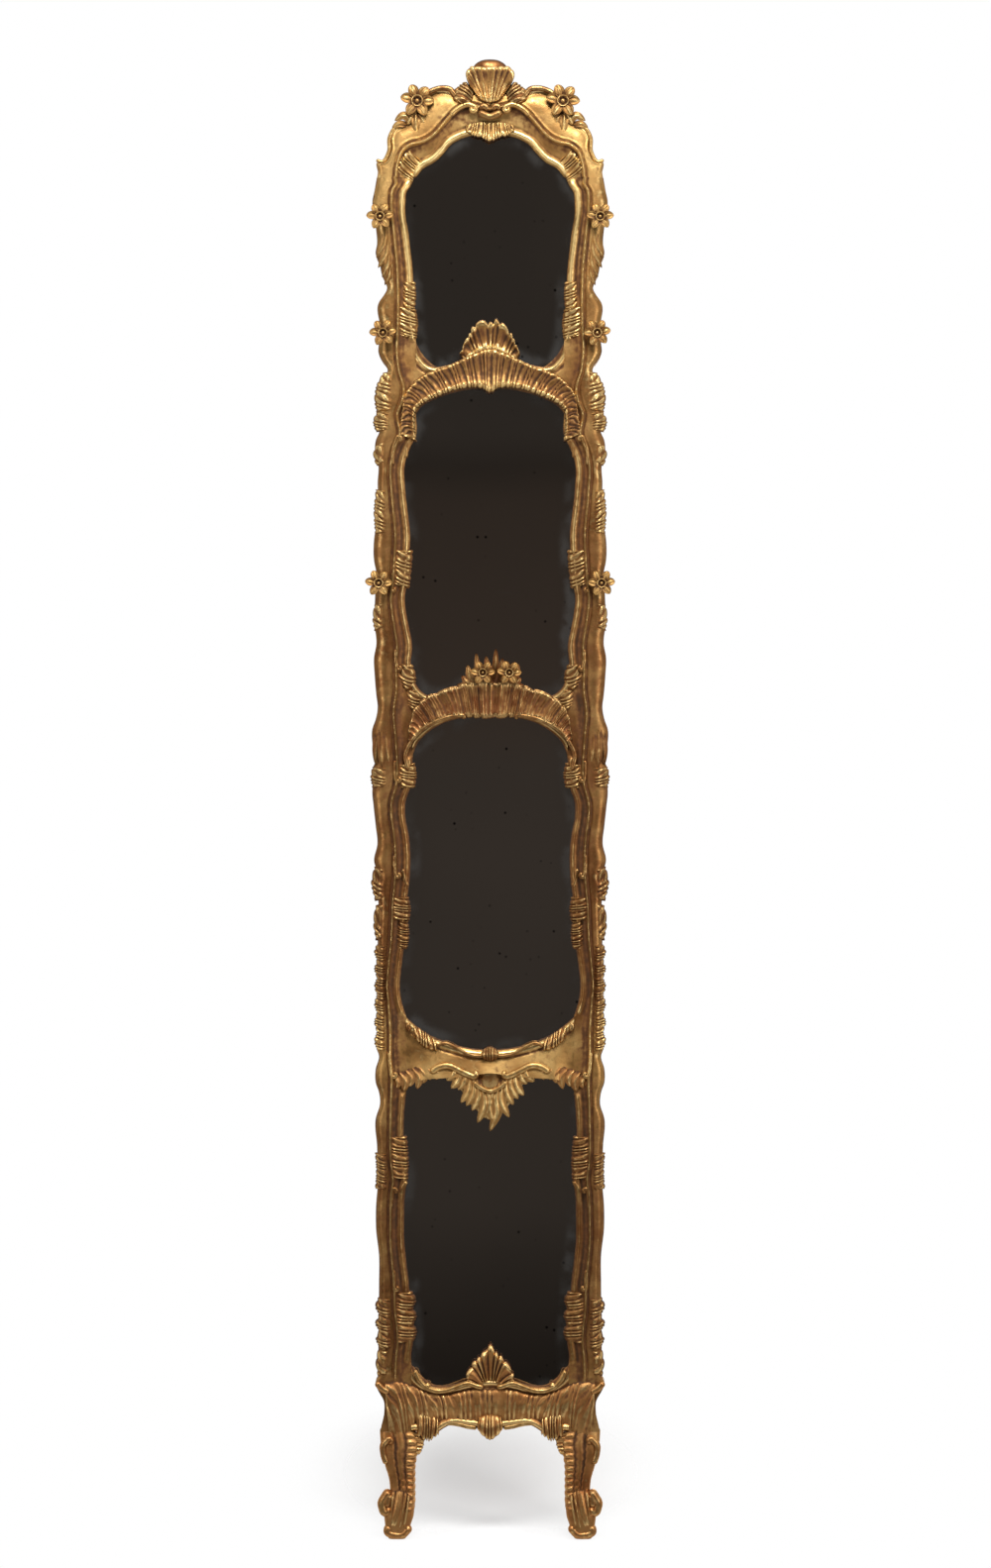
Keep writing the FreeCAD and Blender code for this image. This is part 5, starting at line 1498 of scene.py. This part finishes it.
def room_finish():
    """Dark wall that glows faintly, with soft shapes and bands by height, as a dim room shows in old glass.
    """
    finish, tree, shader = new_finish("dark_room")
    place = put(tree, "TexCoord").outputs["Object"]
    shapes = cloud(tree, place, 0.5, 3.0)
    tone = stops(tree, shapes, ((0.3, (0.030, 0.026, 0.023, 1)), (0.75, (0.052, 0.043, 0.037, 1))))
    height = put(tree, "SeparateXYZ", {0: place}).outputs["Z"]
    level = number(tree, "DIVIDE", number(tree, "ADD", height, 1.5), 6.0)
    # Bands by height, darker and lighter, which the glass and the gold show in their reflections.
    dimming = stops(tree, level, (
        (0.09, (0.42, 0.4, 0.38, 1)), (0.2, (1, 1, 1, 1)), (0.45, (1, 1, 1, 1)),
        (0.48, (1.0, 0.92, 0.87, 1)), (0.6, (1.0, 0.92, 0.87, 1)), (0.62, (0.7, 0.68, 0.66, 1)),
        (0.64, (1, 1, 1, 1)), (1.0, (0.9, 0.9, 0.9, 1))))
    product = {0: 1.0, 6: tone, 7: dimming}
    tone = put(tree, "Mix", product, data_type="RGBA", blend_type="MULTIPLY").outputs[2]
    glow = put(tree, "Emission", {"Color": tone, "Strength": 1.0})
    output = tree.nodes["Material Output"]
    tree.links.new(glow.outputs[0], output.inputs["Surface"])
    return finish


turn = np.linspace(0, 2 * np.pi, floor_sides, endpoint=False)
disc = np.stack([floor_radius * np.cos(turn), floor_radius * np.sin(turn), 0 * turn], -1)
stage_mesh("floor", disc.tolist(), [list(range(len(turn)))], floor_finish())
turn = np.linspace(-room_half_angle, room_half_angle, room_columns)
wall = np.stack([room_radius * np.sin(turn), -room_radius * np.cos(turn), 0 * turn], -1)
wall = np.concatenate((wall - [0, 0, room_height / 2], wall + [0, 0, room_height * 0.75]))
quads = [[i, i + 1, i + room_columns + 1, i + room_columns] for i in range(room_columns - 1)]
room = stage_mesh("dark_room", wall.tolist(), quads, room_finish())
room.visible_camera = False
room.visible_diffuse = False
room.visible_shadow = False
print("floor radius in m", floor_radius)

# %% [markdown]
# The world is white to the camera and in reflections, but gives the mirror only a soft, even light. One
# lamp hangs high and two stand at the sides, where their reflections miss the glass but light the gold,
# and one lights the back.

# %% World and lamps
world = bpy.data.worlds.new("white_studio")
bpy.context.scene.world = world
world.use_nodes = True
tree = world.node_tree
seen = put(tree, "LightPath")
shown = number(tree, "MAXIMUM", seen.outputs["Is Camera Ray"],
               number(tree, "MAXIMUM", seen.outputs["Is Glossy Ray"], seen.outputs["Is Transmission Ray"]))
background = tree.nodes["Background"]
background.inputs["Color"].default_value = (1, 1, 1, 1)
tree.links.new(eased(tree, shown, 0.0, 1.0, 0.26, 1.0), background.inputs["Strength"])


def lamp(name, place, target, width, height, power):
    """Soft area lamp that faces a point."""
    data = bpy.data.lights.new(name, "AREA")
    data.shape = "RECTANGLE"
    data.size = width
    data.size_y = height
    data.energy = power
    light = bpy.data.objects.new(name, data)
    bpy.context.scene.collection.objects.link(light)
    light.location = place
    direction = np.array(target) - np.array(place)
    light.rotation_mode = "QUATERNION"
    light.rotation_quaternion = mathutils.Vector(direction).to_track_quat("-Z", "Y")
    light.visible_camera = False


middle = (0.0, 0.0, 1.2)
lamp("key", (0.3, -2.4, 4.2), middle, 1.8, 1.2, 160.0)
lamp("left_strip", (-1.8, -1.3, 1.4), middle, 0.5, 2.2, 22.0)
lamp("right_strip", (1.8, -1.3, 1.4), middle, 0.5, 2.2, 30.0)
lamp("back_fill", (0.5, 3.4, 1.0), middle, 1.6, 1.6, 48.0)
print("lamps 4")

# %% [markdown]
# The photograph looks straight at the mirror from far off, at the middle of its height. The lens
# follows from the height that the picture shows.

# %% Camera
camera_distance = 5.2
picture_height = 2.3745
picture_middle = (0.00825, 1.14)
data = bpy.data.cameras.new("camera")
data.sensor_width = 36.0
data.lens = data.sensor_width * camera_distance / picture_height
camera = bpy.data.objects.new("camera", data)
camera.location = (picture_middle[0], -camera_distance, picture_middle[1])
camera.rotation_euler = (math.pi / 2, 0, 0)
bpy.context.scene.collection.objects.link(camera)
bpy.context.scene.camera = camera
bpy.context.scene.view_settings.view_transform = "Standard"
print("lens in mm", round(data.lens, 1))
